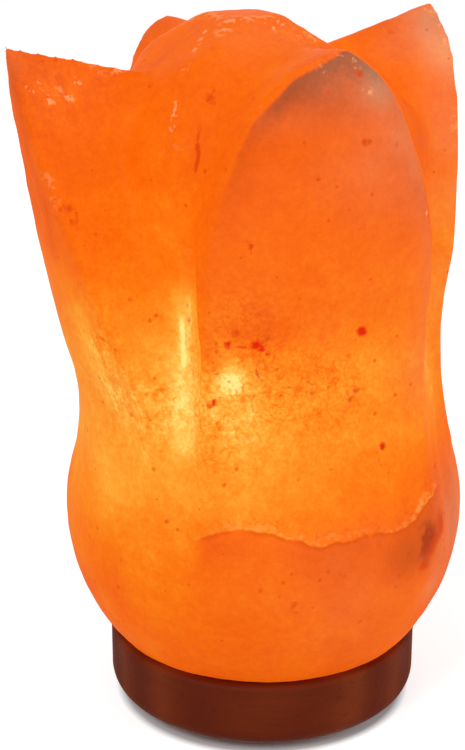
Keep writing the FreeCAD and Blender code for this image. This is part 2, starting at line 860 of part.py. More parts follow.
def make_terminal(name, side, rivet_x):
    """Brass block under the contact block: screw from below, wire hole from front to back."""
    body = new_body(name)
    sketch = body_sketch(body, "terminal_outline", "XY_Plane", TERMINAL_BOTTOM)
    near = side + "terminal_inner_x"
    far = side + "(terminal_inner_x + terminal_length)"
    if side == "-":
        near, far = far, near
    draw_box(sketch, near, far, "-terminal_width / 2", "terminal_width / 2")
    pad(body, "terminal", sketch, "terminal_height")
    hole = body_sketch(body, "screw_hole_outline", "XY_Plane", TERMINAL_BOTTOM)
    draw_circle(hole, side + "terminal_screw_x", "0", "terminal_screw_radius + fit_clearance")
    pocket(body, "screw_hole", hole, "terminal_screw_grip")
    wire = body_sketch(body, "wire_hole_outline", "XZ_Plane")
    draw_circle(
        wire, side + "terminal_screw_x", TERMINAL_BOTTOM + " + wire_hole_rise", "wire_hole_radius"
    )
    pocket(body, "wire_hole", wire, "terminal_width + cut_overrun", midplane=True)
    rivet_holes(body, "rivet_hole", (rivet_x,), "sleeve_seat_z - rivet_sink", "rivet_sink")
    keep(body, name)


def pair_of_pins(name, places, shank, head, shank_z, shank_length, head_z, head_height):
    """Two headed pins side by side on X, as separate solids of one piece."""
    body = new_body(name)
    for part, radius, height, length in (
        ("shanks", shank, shank_z, shank_length),
        ("heads", head, head_z, head_height),
    ):
        sketch = body_sketch(body, part + "_outline", "XY_Plane", height)
        for x in places:
            draw_circle(sketch, x, "0", radius)
        pad(body, part, sketch, length)
    keep(body, name)


def make_contact_pins():
    pair_of_pins(
        "terminal_screws", ("terminal_screw_x", "-terminal_screw_x"),
        "terminal_screw_radius", "terminal_head_radius",
        TERMINAL_BOTTOM, "terminal_screw_grip",
        TERMINAL_BOTTOM + " - terminal_head_height", "terminal_head_height",
    )
    pair_of_pins(
        "contact_rivets", ("shell_rivet_x", "-centre_rivet_x"),
        "rivet_radius", "rivet_head_radius",
        "sleeve_seat_z - rivet_sink", "rivet_sink + block_height + brass_sheet",
        BLOCK_TOP + " + brass_sheet", "rivet_head_height",
    )


# ---------------------------------------------------------------- spring clip

def make_clip_strap():
    body = new_body("clip_strap")
    inner = "(sleeve_radius + holder_clearance)"
    turn(body, "band", [
        (inner, "strap_bottom_z"),
        (STRAP_OUTER, "strap_bottom_z"),
        (STRAP_OUTER, STRAP_TOP),
        (inner, STRAP_TOP),
    ])
    for name, side in (("right_shelf", ""), ("left_shelf", "-")):
        ends = [side + "sqrt(" + inner + " ^ 2 - (wing_width / 2) ^ 2)", side + SHELF_END]
        if side:
            ends.reverse()
        sketch = body_sketch(body, name + "_outline", "XZ_Plane")
        draw_box(sketch, ends[0], ends[1], STRAP_TOP + " - shelf_thickness", STRAP_TOP)
        pad(body, name, sketch, "wing_width", midplane=True)
    sketch = body_sketch(body, "room_outline", "XY_Plane", "strap_bottom_z")
    draw_circle(sketch, "0", "0", inner)
    pocket(body, "room_for_the_sleeve", sketch, "strap_height")
    keep(body, "clip_strap")


def make_clip_wing(name, turned):
    """Spring wing: bowed leaf from the shelf to an elbow against the bore, then a tail."""
    body = new_body(name)
    root = "(" + SHELF_END + " + wing_gap)"
    reach = "sqrt((bore_radius - wing_clearance) ^ 2 - (wing_width / 2) ^ 2)"
    elbow_z = STRAP_TOP + " - wing_elbow_drop"
    tail_z = STRAP_TOP + " - wing_tail_drop"
    sketch = body_sketch(body, "leaf_outline", "XZ_Plane")
    draw_outline(sketch, [
        (root, STRAP_TOP),
        (reach + " - wing_thickness", elbow_z, -1, "wing_bow"),
        (reach + " - wing_tail_inset - wing_thickness", tail_z),
        (reach + " - wing_tail_inset", tail_z),
        (reach, elbow_z),
        (root + " + wing_thickness", STRAP_TOP, 1, "wing_bow"),
    ])
    pad(body, "leaf", sketch, "wing_width", midplane=True)
    if turned:
        body.Placement = FreeCAD.Placement(
            FreeCAD.Vector(), FreeCAD.Rotation(FreeCAD.Vector(0, 0, 1), 180)
        )
    keep(body, name)


# ---------------------------------------------------------------- bulb

def make_cap_contact():
    body = new_body("cap_contact")
    turn(body, "tip", [
        ("0", "bulb_seat_z"),
        ("tip_radius - tip_height", "bulb_seat_z"),
        ("tip_radius", INSULATOR_BOTTOM, 1, "tip_height"),
        ("0", INSULATOR_BOTTOM),
    ])
    keep(body, "cap_contact")


def make_cap_insulator():
    body = new_body("cap_insulator")
    turn(body, "glass_disc", [
        ("0", INSULATOR_BOTTOM),
        ("tip_radius", INSULATOR_BOTTOM),
        ("insulator_radius", BULB_CAP_BOTTOM),
        ("insulator_radius", CAP_FLANGE_SEAT),
        ("insulator_flange_radius", CAP_FLANGE_SEAT),
        ("insulator_flange_radius", CAP_FLANGE_SEAT + " + insulator_flange"),
        ("0", CAP_FLANGE_SEAT + " + insulator_flange"),
    ])
    keep(body, "cap_insulator")


def make_bulb_cap():
    body = new_body("bulb_cap")
    hole = "insulator_radius + fit_clearance"
    inner = "(bulb_cap_radius - bulb_cap_wall)"
    rim = BULB_CAP_BOTTOM + " + bulb_cap_height"
    turn(body, "cap", [
        (hole, BULB_CAP_BOTTOM),
        ("bulb_cap_radius - bulb_cap_taper", BULB_CAP_BOTTOM),
        ("bulb_cap_radius", BULB_CAP_BOTTOM + " + bulb_cap_taper"),
        ("bulb_cap_radius", rim),
        (inner, rim),
        (inner, BULB_CAP_BOTTOM + " + bulb_cap_taper"),
        ("bulb_cap_radius - bulb_cap_taper", CAP_FLANGE_SEAT),
        (hole, CAP_FLANGE_SEAT),
    ])
    keep(body, "bulb_cap")


def make_bulb_glass():
    body = new_body("bulb_glass")
    inner = "(glass_radius - glass_wall)"
    crown = "(glass_crown_z + glass_radius)"
    turn(body, "envelope", [
        (NECK_INNER, "neck_start_z"),
        (NECK_OUTER, "neck_start_z"),
        (NECK_OUTER, "neck_end_z"),
        ("glass_radius", "glass_shoulder_z", 1, "glass_shoulder_round"),
        ("glass_radius", "glass_crown_z"),
        ("0", crown, 1, "glass_radius"),
        ("0", crown + " - glass_wall"),
        (inner, "glass_crown_z", -1, inner),
        (inner, "glass_shoulder_z"),
        (NECK_INNER, "neck_end_z", -1, "(glass_shoulder_round - glass_wall)"),
    ])
    keep(body, "bulb_glass")


def make_bulb_stem():
    """Flared glass foot that seals the neck and carries the wires."""
    body = new_body("bulb_stem")
    turn(body, "flare", [
        ("stem_foot_radius - stem_wall", "neck_start_z - stem_flange"),
        (NECK_OUTER, "neck_start_z - stem_flange"),
        (NECK_OUTER, "neck_start_z"),
        ("stem_foot_radius", "neck_start_z"),
        ("stem_press_radius", "stem_press_z"),
        ("stem_button_radius", "stem_button_z"),
        ("stem_button_radius", "stem_top_z"),
        ("0", "stem_top_z"),
        ("0", "lead_foot_z - stem_wall"),
        ("stem_press_radius - stem_wall", "lead_foot_z - 2 * stem_wall"),
    ])
    holes = body_sketch(body, "lead_hole_outline", "XY_Plane", "lead_foot_z")
    for x in ("lead_foot_x", "-lead_foot_x"):
        draw_circle(holes, x, "0", "lead_radius + fit_clearance")
    pocket(body, "lead_holes", holes, "stem_top_z - lead_foot_z")
    keep(body, "bulb_stem")


def rod(name, radius, start, end):
    """Round rod between two points of the XZ plane, given as formulas."""
    run = "(%s - (%s))" % (end[0], start[0])
    climb = "(%s - (%s))" % (end[1], start[1])
    solid = document.addObject("Part::Cylinder", name)
    bind(solid, "Radius", radius)
    bind(solid, "Height", "sqrt(%s ^ 2 + %s ^ 2)" % (run, climb))
    lean(solid, (0, 1, 0), run, climb)
    bind(solid, "Placement.Base.x", start[0])
    bind(solid, "Placement.Base.z", start[1])
    return solid


def make_lead_wires():
    """Two wires that leave the press upright and then spread to the filament."""
    foot = ("lead_foot_x", "lead_foot_z")
    bend = ("lead_foot_x", "lead_bend_z")
    end = ("filament_half", "(filament_end_z - filament_gap)")
    upright = rod("lead_upright", "lead_radius", foot, bend)
    spread = rod("lead_spread", "lead_radius", bend, end)
    knee = document.addObject("Part::Sphere", "lead_knee")
    bind(knee, "Radius", "lead_radius")
    bind(knee, "Placement.Base.x", bend[0])
    bind(knee, "Placement.Base.z", bend[1])
    right = joined("MultiFuse", "right_lead", upright, spread, knee)
    left = document.addObject("Part::Mirroring", "left_lead")
    left.Source = right
    left.Normal = FreeCAD.Vector(1, 0, 0)
    both = document.addObject("Part::Compound", "lead_wires")
    both.Links = [right, left]
    keep(both, "lead_wires")


def make_filament():
    """Arched wire between the leads, turned about a level line under its top."""
    body = new_body("filament")
    bow = "((filament_half ^ 2 + filament_rise ^ 2) / (2 * filament_rise))"
    top = "(filament_end_z + filament_rise)"
    sketch = body_sketch(body, "wire_outline", "YZ_Plane")
    draw_circle(sketch, "0", top, "filament_radius")
    draw_axis(sketch, ("0", top + " - " + bow), ("base_radius", top + " - " + bow))
    arch = body.newObject("PartDesign::Revolution", "arch")
    arch.Profile = sketch
    arch.ReferenceAxis = (sketch, ["Axis0"])
    arch.Midplane = True
    bind(arch, "Angle", "2 * asin(filament_half / %s)" % bow)
    document.recompute()
    keep(body, "filament")


def make_filament_support():
    body = new_body("filament_support")
    sketch = body_sketch(body, "wire_outline", "XY_Plane", "stem_top_z")
    draw_circle(sketch, "0", "0", "support_radius")
    height = "filament_end_z + filament_rise - filament_radius - fit_clearance - stem_top_z"
    pad(body, "wire", sketch, height)
    keep(body, "filament_support")


# ---------------------------------------------------------------- the whole lamp

def check_document():
    """Stop on any feature that failed and on any shape that is not sound."""
    for thing in document.Objects:
        if "Invalid" in thing.State or "Error" in thing.State:
            raise RuntimeError(thing.Name + " is in state " + str(thing.State))
    for piece in pieces:
        if piece.Shape.isNull() or not piece.Shape.isValid():
            raise RuntimeError(piece.Label + " has no sound shape")


def main():
    fill_sheet()
    make_wood_base()
    make_non_slip_ring()
    make_base_screws()
    make_crystal_anchors()
    make_salt_crystal()
    make_holder_cap()
    make_inlet_bush()
    make_holder_body()
    make_contact_block()
    make_screw_shell()
    make_centre_contact()
    make_terminal("shell_terminal", "", "shell_rivet_x")
    make_terminal("centre_terminal", "-", "-centre_rivet_x")
    make_contact_pins()
    make_clip_strap()
    make_clip_wing("clip_wing_right", False)
    make_clip_wing("clip_wing_left", True)
    make_cap_contact()
    make_cap_insulator()
    make_bulb_cap()
    make_bulb_glass()
    make_bulb_stem()
    make_lead_wires()
    make_filament()
    make_filament_support()
    document.recompute()
    check_document()
    os.makedirs("parts", exist_ok=True)
    for piece in pieces:
        piece.Shape.exportStep(os.path.join("parts", piece.Label + ".step"))


main()
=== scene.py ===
from functools import partial, reduce
from math import asin, atan2, ceil, cos, degrees, dist, pi, radians, sin

import bmesh
import bpy
import numpy as np
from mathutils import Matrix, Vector
from mathutils.bvhtree import BVHTree


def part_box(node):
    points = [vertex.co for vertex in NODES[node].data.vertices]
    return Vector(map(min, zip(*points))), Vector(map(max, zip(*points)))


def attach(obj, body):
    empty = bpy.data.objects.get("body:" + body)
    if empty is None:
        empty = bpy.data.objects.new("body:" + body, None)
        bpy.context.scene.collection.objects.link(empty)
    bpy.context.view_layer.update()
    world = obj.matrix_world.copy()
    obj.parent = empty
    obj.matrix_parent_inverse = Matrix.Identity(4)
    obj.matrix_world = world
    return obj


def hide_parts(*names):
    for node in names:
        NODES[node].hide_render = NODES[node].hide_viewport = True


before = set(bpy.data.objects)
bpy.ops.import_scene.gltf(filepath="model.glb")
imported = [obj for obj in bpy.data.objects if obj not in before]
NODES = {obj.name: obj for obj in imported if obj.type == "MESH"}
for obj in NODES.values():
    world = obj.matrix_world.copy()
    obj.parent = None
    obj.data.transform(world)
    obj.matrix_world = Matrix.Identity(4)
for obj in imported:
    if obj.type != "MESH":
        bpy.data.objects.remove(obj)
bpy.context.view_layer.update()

MM = 0.001
SCENE = bpy.context.scene
WHITE = (1, 1, 1, 1)

# ---- camera

PICTURE_WIDTH, PICTURE_HEIGHT = 465, 750
LENS_IN_PIXELS = 1669
SENSOR_MM = 36
CAMERA_PLACE = Vector((0, -0.5, 0.28))
CAMERA_PITCH = radians(19)
CAMERA_YAW = radians(1.13)
CLIP_START = 0.01
CRYSTAL_DISTANCE = 0.55


def new_object(name, data):
    thing = bpy.data.objects.new(name, data)
    SCENE.collection.objects.link(thing)
    return thing


def make_camera():
    camera = new_object("camera", bpy.data.cameras.new("camera"))
    camera.location = CAMERA_PLACE
    camera.rotation_euler = (radians(90) - CAMERA_PITCH, 0, CAMERA_YAW)
    camera.data.sensor_width = SENSOR_MM
    camera.data.lens = LENS_IN_PIXELS / PICTURE_HEIGHT * SENSOR_MM
    camera.data.clip_start = CLIP_START
    SCENE.camera = camera
    bpy.context.view_layer.update()
    return camera


camera = make_camera()


def ray_through(px, py):
    """Direction from the camera through a pixel of the photograph."""
    across = (px - PICTURE_WIDTH / 2) / LENS_IN_PIXELS
    up = (PICTURE_HEIGHT / 2 - py) / LENS_IN_PIXELS
    return (camera.matrix_world.to_3x3() @ Vector((across, up, -1))).normalized()


# ---- light and backdrop

ROOM_STRENGTH = 0.42
FLOOR_RADIUS = 1.2
FLOOR_GAP = 0.0002
FLOOR_TONE = (0.8, 0.8, 0.8, 1)
# Brightness that the camera sees added to the floor: two distances from the axis, two strengths.
FLOOR_LIFT = 0.2, 1, 0.6, 0.95
# Heights between which the floor counts as lowered.
FLOOR_LOWERED = -0.01, -0.005
BASE_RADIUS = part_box("wood_base")[1][0]
BASE_RIM = (0.004, 0.001)
LAMP_TARGET = (0, 0, 0.12)
LAMP_SIZE = 0.5
LAMPS = {"key": ((-0.45, -0.7, 0.75), 4.5), "fill": ((0.7, -0.35, 0.45), 2.4)}


def make_light(name, place, power):
    lamp = bpy.data.lights.new(name, "AREA")
    lamp.shape = "DISK"
    lamp.size = LAMP_SIZE
    lamp.energy = power
    thing = new_object(name, lamp)
    thing.location = place
    thing.rotation_euler = (Vector(LAMP_TARGET) - Vector(place)).to_track_quat("-Z", "Y").to_euler()


def make_world():
    """Soft grey room that looks white to the camera, in metal and through glass."""
    SCENE.world = bpy.data.worlds.new("room")
    SCENE.world.use_nodes = True
    tree = SCENE.world.node_tree
    tree.nodes.clear()
    new = tree.nodes.new
    out = new("ShaderNodeOutputWorld")
    mix = new("ShaderNodeMixShader")
    for socket, strength in ((1, ROOM_STRENGTH), (2, 1)):
        light = new("ShaderNodeBackground")
        light.inputs["Color"].default_value = WHITE
        light.inputs["Strength"].default_value = strength
        tree.links.new(light.outputs[0], mix.inputs[socket])
    path = new("ShaderNodeLightPath")
    shown = path.outputs["Is Camera Ray"]
    for kind in ("Is Glossy Ray", "Is Transmission Ray"):
        either = new("ShaderNodeMath")
        either.operation = "MAXIMUM"
        tree.links.new(shown, either.inputs[0])
        tree.links.new(path.outputs[kind], either.inputs[1])
        shown = either.outputs[0]
    tree.links.new(shown, mix.inputs[0])
    tree.links.new(mix.outputs[0], out.inputs[0])


def make_floor():
    """Pale table top, open to light from below.

    It goes down with the holder, which it would hide else. Under the base only the
    camera sees it.
    """
    bpy.ops.mesh.primitive_circle_add(vertices=96, radius=FLOOR_RADIUS, fill_type="NGON",
                                      location=(0, 0, -FLOOR_GAP))
    floor = bpy.context.object
    floor.name = "table_top"
    top = Shader("table_top", Base_Color=FLOOR_TONE, Roughness=0.9, Specular_IOR_Level=0,
                 Emission_Color=WHITE)
    seen = top.add("LightPath").outputs["Is Camera Ray"]
    away = top.add("VectorMath", operation="LENGTH")
    top.feed(away.inputs[0], top.place)
    away = away.outputs["Value"]
    lift = top.fit(away, *FLOOR_LIFT)
    ground = top.add("NewGeometry")
    height = top.add("SeparateXYZ")
    top.feed(height.inputs[0], ground.outputs["Position"])
    beside_base = top.fit(away, *(BASE_RADIUS - inset for inset in BASE_RIM))
    lowered = top.fit(height.outputs["Z"], *FLOOR_LOWERED, 1, 0)
    clear_of_base = top.maths("MAXIMUM", beside_base, lowered)
    top.put("Emission Strength", top.product(seen, lift, clear_of_base))
    under_base = top.product(top.maths("SUBTRACT", 1, seen), top.maths("SUBTRACT", 1, clear_of_base))
    clear = top.add("BsdfTransparent")
    mix = top.add("MixShader")
    top.feed(mix.inputs[0], top.maths("MAXIMUM", ground.outputs["Backfacing"], under_base))
    top.feed(mix.inputs[1], top.surface.outputs[0])
    top.feed(mix.inputs[2], clear.outputs[0])
    top.feed(top.tree.nodes["Material Output"].inputs["Surface"], mix.outputs[0])
    floor.data.materials.append(top.material)
    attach(floor, "lamp_holder")


# ---- node helpers

class Shader:
    """A material under construction, with short calls for nodes."""

    def __init__(self, name, **sockets):
        self.material = bpy.data.materials.new(name)
        self.material.use_nodes = True
        self.tree = self.material.node_tree
        self.surface = self.tree.nodes["Principled BSDF"]
        for socket, value in sockets.items():
            self.put(socket.replace("_", " "), value)
        self.place = self.add("TexCoord").outputs["Object"]

    def add(self, kind, **settings):
        node = self.tree.nodes.new("ShaderNode" + kind)
        for key, value in settings.items():
            setattr(node, key, value)
        return node

    def feed(self, socket, value):
        if isinstance(value, bpy.types.NodeSocket):
            self.tree.links.new(value, socket)
        else:
            socket.default_value = value

    def put(self, socket, value):
        self.feed(self.surface.inputs[socket], value)

    def stretched(self, x, y, z, tilt=0):
        """The place, tilted about Y and scaled per axis: a larger number packs the pattern closer."""
        place = self.place
        for socket, value in (("Rotation", (0, tilt, 0)), ("Scale", (x, y, z))):
            node = self.add("Mapping")
            node.inputs[socket].default_value = value
            self.feed(node.inputs["Vector"], place)
            place = node.outputs[0]
        return place

    def texture(self, kind, size, place=None, **sockets):
        """Texture node; size is the length of one wave or cell in metres."""
        node = self.add("Tex" + kind)
        self.feed(node.inputs["Vector"], place or self.place)
        for socket, value in {"Scale": 1 / size, **sockets}.items():
            node.inputs[socket].default_value = value
        return node

    def warped(self, size, shift):
        """The place, pushed about by noise; size and shift in metres."""
        node = self.add("VectorMath", operation="MULTIPLY_ADD")
        self.feed(node.inputs[0], self.texture("Noise", size).outputs["Color"])
        node.inputs[1].default_value = (shift, shift, shift)
        self.feed(node.inputs[2], self.place)
        return node.outputs[0]

    def noise(self, size, detail=4, roughness=0.55, distortion=0, place=None):
        """Cloudy noise between 0 and 1."""
        node = self.texture("Noise", size, place, Detail=detail, Roughness=roughness,
                            Distortion=distortion)
        return node.outputs["Fac"]

    def veins(self, size, place):
        """Distance to the walls of cells, in cell sizes."""
        node = self.texture("Voronoi", size, place)
        node.feature = "DISTANCE_TO_EDGE"
        return node.outputs["Distance"]

    def waves(self, size, distortion, place):
        node = self.texture("Wave", size, place, Distortion=distortion, Detail=3)
        node.bands_direction = "Y"
        return node.outputs["Fac"]

    def attribute(self, name):
        return self.add("Attribute", attribute_name=name).outputs["Fac"]

    def fit(self, value, low, high, new_low=0, new_high=1):
        """Map the range low..high to a new range and clip it there."""
        node = self.add("MapRange")
        for socket, number in zip(node.inputs[:5], (value, low, high, new_low, new_high)):
            self.feed(socket, number)
        return node.outputs[0]

    def maths(self, operation, first, second=0):
        node = self.add("Math", operation=operation)
        self.feed(node.inputs[0], first)
        self.feed(node.inputs[1], second)
        return node.outputs[0]

    def total(self, *values):
        return reduce(partial(self.maths, "ADD"), values)

    def product(self, *values):
        return reduce(partial(self.maths, "MULTIPLY"), values)

    def blend(self, factor, first, second):
        node = self.add("Mix", data_type="RGBA")
        self.feed(node.inputs["Factor"], factor)
        for socket, colour in ((node.inputs[6], first), (node.inputs[7], second)):
            self.feed(socket, colour if isinstance(colour, bpy.types.NodeSocket) else (*colour, 1))
        return node.outputs[2]

    def ramp(self, value, stops):
        """Colour by value; the stops rise."""
        node = self.add("ValToRGB")
        elements = node.color_ramp.elements
        elements[0].position, elements[1].position = stops[0][0], stops[-1][0]
        elements[0].color, elements[1].color = (*stops[0][1], 1), (*stops[-1][1], 1)
        for place, colour in stops[1:-1]:
            elements.new(place).color = (*colour, 1)
        self.feed(node.inputs[0], value)
        return node.outputs["Color"]

    def bump(self, height, depth, under=None):
        """Bump of a height between 0 and 1, depth in metres."""
        node = self.add("Bump")
        node.inputs["Strength"].default_value = 1
        node.inputs["Distance"].default_value = depth
        self.feed(node.inputs["Height"], height)
        if under:
            self.feed(node.inputs["Normal"], under)
        self.put("Normal", node.outputs[0])
        return node.outputs[0]


# ---- mesh helpers

GRAIN_CELLS, GRAIN_SHIFT = 32, 3.7


def apply_modifiers(thing):
    graph = bpy.context.evaluated_depsgraph_get()
    mesh = bpy.data.meshes.new_from_object(thing.evaluated_get(graph))
    thing.modifiers.clear()
    thing.data = mesh


def vectors(mesh, kind):
    """The places ("co") or the normals of a mesh's vertices."""
    flat = np.empty(len(mesh.vertices) * 3)
    mesh.vertices.foreach_get(kind, flat)
    return flat.reshape(-1, 3)


def move_to(mesh, places):
    """Move the vertices to places in millimetres."""
    mesh.vertices.foreach_set("co", (places * MM).ravel())
    mesh.update()


def lengths(rows):
    return np.sqrt(np.sum(rows ** 2, axis=1))


def eased(mesh, places, rounds):
    """Places after each has moved to the mean of its neighbours a few times."""
    pairs = np.empty(len(mesh.edges) * 2, int)
    mesh.edges.foreach_get("vertices", pairs)
    first, second = pairs.reshape(-1, 2).T
    count = np.bincount(pairs, minlength=len(places))
    for _ in range(rounds):
        total = [np.bincount(first, part[second], len(part)) + np.bincount(second, part[first], len(part))
                 for part in places.T]
        places = np.stack(total / count, axis=1)
    return places


def grain(places, size, seed):
    """Smooth noise between -1 and 1 at places; size is the wave length in mm."""
    table = np.random.default_rng(seed).uniform(-1, 1, (GRAIN_CELLS,) * 3)
    scaled = places / size + seed * GRAIN_SHIFT
    cell = np.floor(scaled).astype(int)
    part = scaled - cell
    part = part * part * (3 - 2 * part)
    value = np.zeros(len(places))
    for corner in np.ndindex(2, 2, 2):
        weight = np.prod(np.where(corner, part, 1 - part), axis=1)
        value += weight * table[tuple(((cell + corner) % GRAIN_CELLS).T)]
    return value


def grains(places, layers):
    """Sum of noises, each by wave length in mm, height and seed."""
    return sum(height * grain(places, size, seed) for size, height, seed in layers)


def bell(values, middle, width):
    """1 at the middle, fading to both sides."""
    return np.exp(-((values - middle) / width) ** 2)


def spread(places, centre, radius):
    """1 at the centre, fading out; radius is a number or one per axis."""
    return np.exp(-np.sum(((places - centre) / radius) ** 2, axis=1))


def reach(places, line):
    """Distance from a line through points."""
    nearest = np.full(len(places), np.inf)
    for start, end in zip(line, line[1:]):
        run = end - start
        along = np.clip((places - start) @ run / (run @ run), 0, 1)
        nearest = np.minimum(nearest, lengths(places - start - along[:, None] * run))
    return nearest


def rise(values, low, high):
    """0 below low, 1 above high, eased between."""
    part = np.clip((values - low) / (high - low), 0, 1)
    return part * part * (3 - 2 * part)


# ---- crystal

# Lengths are in millimetres. A noise is a wave length, a height and a seed.
VOXEL = 1.15
WELD_GAP = 0.01
BORE_SKIN_RADIUS, BORE_SKIN_TOP = 23, 153
FOOT_TOP = 25.5

# Softening: rounds of easing, the shift that counts as an edge, and the share of the easing that
# an unchipped edge takes.
SOFT_ROUNDS, SOFTER_ROUNDS = 3, 22
SHARP_SHIFT, EDGE_SHIFT = 0.6, 0.7
WORN_SHARE = 0.5
CHIPPING = [(9, 0.7, 1), (3.8, 0.2, 2)]

# Relief, along the normal.
TOOL_MARKS = [(24, 0.22, 3), (9, 0.14, 4), (3.4, 0.06, 5)]
UPRIGHT_STROKES = [(2.2, 0.06, 6)]
UPRIGHT = (1, 1, 0.18)
SKIN_SINK = 0.25
RAGGED_LINES = [(4, 0.7, 7)]
PIT_DEPTH = 0.5
SCRAPE_RELIEF, SCRAPE_SINK = [(2.8, 0.2, 23)], 0.1
STROKE_TILT = radians(23)

# Front ledge: its rags, the height over its line and the width of lip and undercut, and the
# degrees from its two ends between which it fades.
LEDGE_RAGS = [(6, 0.9, 21), (2.5, 0.6, 22)]
LIP_TEARS, LIP_STRETCHES = [(2.2, 0.8, 27)], [(13, 0.8, 31)]
LIP, UNDERCUT = (1.2, 1.3), (-0.9, 1.1)
LIP_RELIEF, UNDERCUT_RELIEF = 0.55, 0.5
LEDGE_LEAST_RADIUS = 40
LEDGE_START_FADE, LEDGE_END_FADE = (-2, 4), (-4, 4)

# Light from inside: the lamp's place and reach, the glow far off and what it adds close by.
LIGHT_PLACE = (-14, -6, 106)
LIGHT_REACH = 50
GLOW_FAR, GLOW_CLOSE = 0.43, 0.7
TOP_GLOW, TOP_GLOW_RISE, TOP_GLOW_REACH = 0.06, (145, 165), 50
BORE_GLOW_LEAST, BORE_GLOW, BORE_GLOW_BELL = 0.45, 0.5, (108, 45)
UNEVEN_GLOW = [(5, 0.6, 30)]

# Face outline of each petal: azimuth, then height and the half widths to its left and right.
PETAL_ARCHES = {
    27: [(24, 42.5, 32), (150, 42.5, 32), (174, 38.5, 27.5), (196, 31, 19.5), (209, 17.5, 11),
         (217, 0, 0)],
    -63: [(24, 34, 34), (104, 34, 34), (188, 9, 7), (206, 4, 3.5), (218, 0, 0)],
    -147: [(24, 36, 29), (138, 36, 29), (206, 13, 11.5), (213, 7, 6), (215.5, 0, 0)],
    117: [(24, 36, 34), (150, 36, 34), (196, 25, 23), (212, 11, 10), (223, 0, 0)],
}
PETAL_HAZE = {27: 1, -63: 0.12, -147: 0.7, 117: 0.9}
PETAL_LEAST_REACH = 28
FACING_RISE, FACE_EDGE_RISE = (0.7, 0.85), (0.2, 1.6)

# Greyness and loss of glow on faces, tips and rims, the grey on the right rims being a painted pale
# sheen, and the heights where they start and are full.
FACE_GREY, TIP_GREY, RIGHT_SHEEN = 0.05, 0.34, 0.28
FACE_DIM, TIP_DIM, LEFT_DIM, RIGHT_DIM = 0.06, 0.34, 0.15, 0.06
FACE_GREY_RISE, FACE_DIM_RISE, TIP_RISE = (90, 150), (150, 190), (190, 216)
LEFT_RISE, RIGHT_RISE = (165, 200), (110, 175)
RIM, RIM_SIDE = (1, 6), 0.5
GREY_CLOUDS, DIM_CLOUDS = [(7, 0.35, 24)], [(11, 0.3, 28)]

# Grooves between the petals: azimuth and glow, the height and reach of the low and the high end,
# and for each shine along them its share, width, brightest height and length.
GROOVES = {70: 0.05, 162: 0.24, -108: 0.24}
GROOVE_LOW, GROOVE_HIGH = (50, 64.2), (158, 47)
GROOVE_SHINES = [(1, 2.2, 120, 22), (0.33, 5, 115, 40)]

# Places on the crystal, by the pixel of the photograph that shows them.
FRONT_LEDGE = [(197, 540), (225, 531), (246, 531), (272, 534), (300, 542), (325, 548), (345, 543),
               (365, 534), (397, 530), (417, 518), (428, 500), (438, 486)]
HOT_LINE = [(180, 318), (182, 340), (183, 364)]
THIN_LINE = [(188, 296), (189, 346)]
WARM_LINE = [(181, 300), (182, 380), (184, 445)]
LEFT_LIMB = [(10, 66), (24, 143), (36, 180), (47, 213), (52, 253)]
DARK_CRACK = [(199, 125), (196, 140), (197, 156), (194, 172)]
CREASE = [(187, 300), (190, 345), (192, 372), (196, 400), (199, 440), (201, 470)]
FRACTURES = [
    [(205, 352), (228, 345), (250, 350), (272, 344), (297, 352)],
    [(203, 405), (222, 398), (240, 404), (262, 392), (281, 396)],
    [(212, 372), (232, 384), (243, 402), (262, 418)], [(255, 330), (262, 352), (256, 372), (268, 390)],
    [(292, 372), (318, 388), (338, 384)], [(262, 392), (300, 386), (322, 400)],
    [(378, 452), (384, 470), (398, 476)],
]
LEFT_MARKS = [
    [(65, 205), (72, 204), (77, 212), (78, 222), (80, 232)], [(65, 208), (70, 217), (75, 226)],
    [(212, 84), (204, 101), (214, 103), (215, 92), (211, 85)], [(245, 240), (252, 246), (251, 255)],
    [(99, 297), (115, 346), (126, 369), (147, 419), (160, 438)], [(99, 338), (107, 345), (112, 352)],
]
# Lines, their strength and width, and whether they are uneven.
CUTS = [(DARK_CRACK, 0.7, 0.8, True), (CREASE, 0.35, 0.8, False)]
CUTS += [(line, 0.3, 0.9, True) for line in FRACTURES + LEFT_MARKS]
GLOW_LINES = [
    (HOT_LINE, 0.3, 0.75, True), (THIN_LINE, 0.14, 0.5, True), (WARM_LINE, 0.16, 4.5, False),
    (LEFT_LIMB, -0.08, 3, False),
]
PITS = {
    (345, 576): 1.2, (400, 577): 1, (312, 609): 1.1, (260, 592): 1.3, (292, 575): 1, (361, 73): 1.8,
    (431, 215): 1.5, (164, 592): 1.5, (178, 590): 1.2, (295, 606): 1.6, (72, 212): 2.2, (76, 226): 1.5,
    (110, 345): 1.6, (304, 430): 1, (230, 178): 1.6, (366, 143): 1.6, (207, 94): 2.8, (391, 30): 1.4,
    (38, 82): 1.6, (50, 90): 1.4, (66, 86): 1.3, (58, 100): 1.5, (80, 82): 1.4, (44, 104): 1.3,
}
RED_SPOTS = {
    (257, 346): 2.2, (262, 350): 1.2, (228, 345): 1.5, (268, 354): 1.1, (362, 332): 2.4,
    (208, 407): 1.3, (214, 404): 1.2, (205, 402): 1, (383, 446): 1.3, (116, 346): 1, (231, 372): 0.8,
}
BROWN_SPOTS = {
    (209, 96): 1.8, (70, 207): 1.5, (74, 222): 1.3, (361, 73): 1.6, (366, 143): 1.6, (371, 141): 1.2,
    (391, 30): 1.8, (295, 606): 1.5, (293, 612): 1.2, (24, 103): 1.3, (383, 448): 1.5, (356, 392): 1.6,
    (351, 400): 1.3, (398, 144): 1.2, (318, 372): 1.1, (250, 247): 1.1, (319, 179): 1, (216, 352): 1.3,
    (238, 334): 2, (268, 338): 1.6, (150, 421): 1, (112, 340): 1.5, (166, 522): 1.4, (224, 485): 1.2,
    (436, 466): 1.4, (340, 575): 0.9, (313, 609): 1,
}
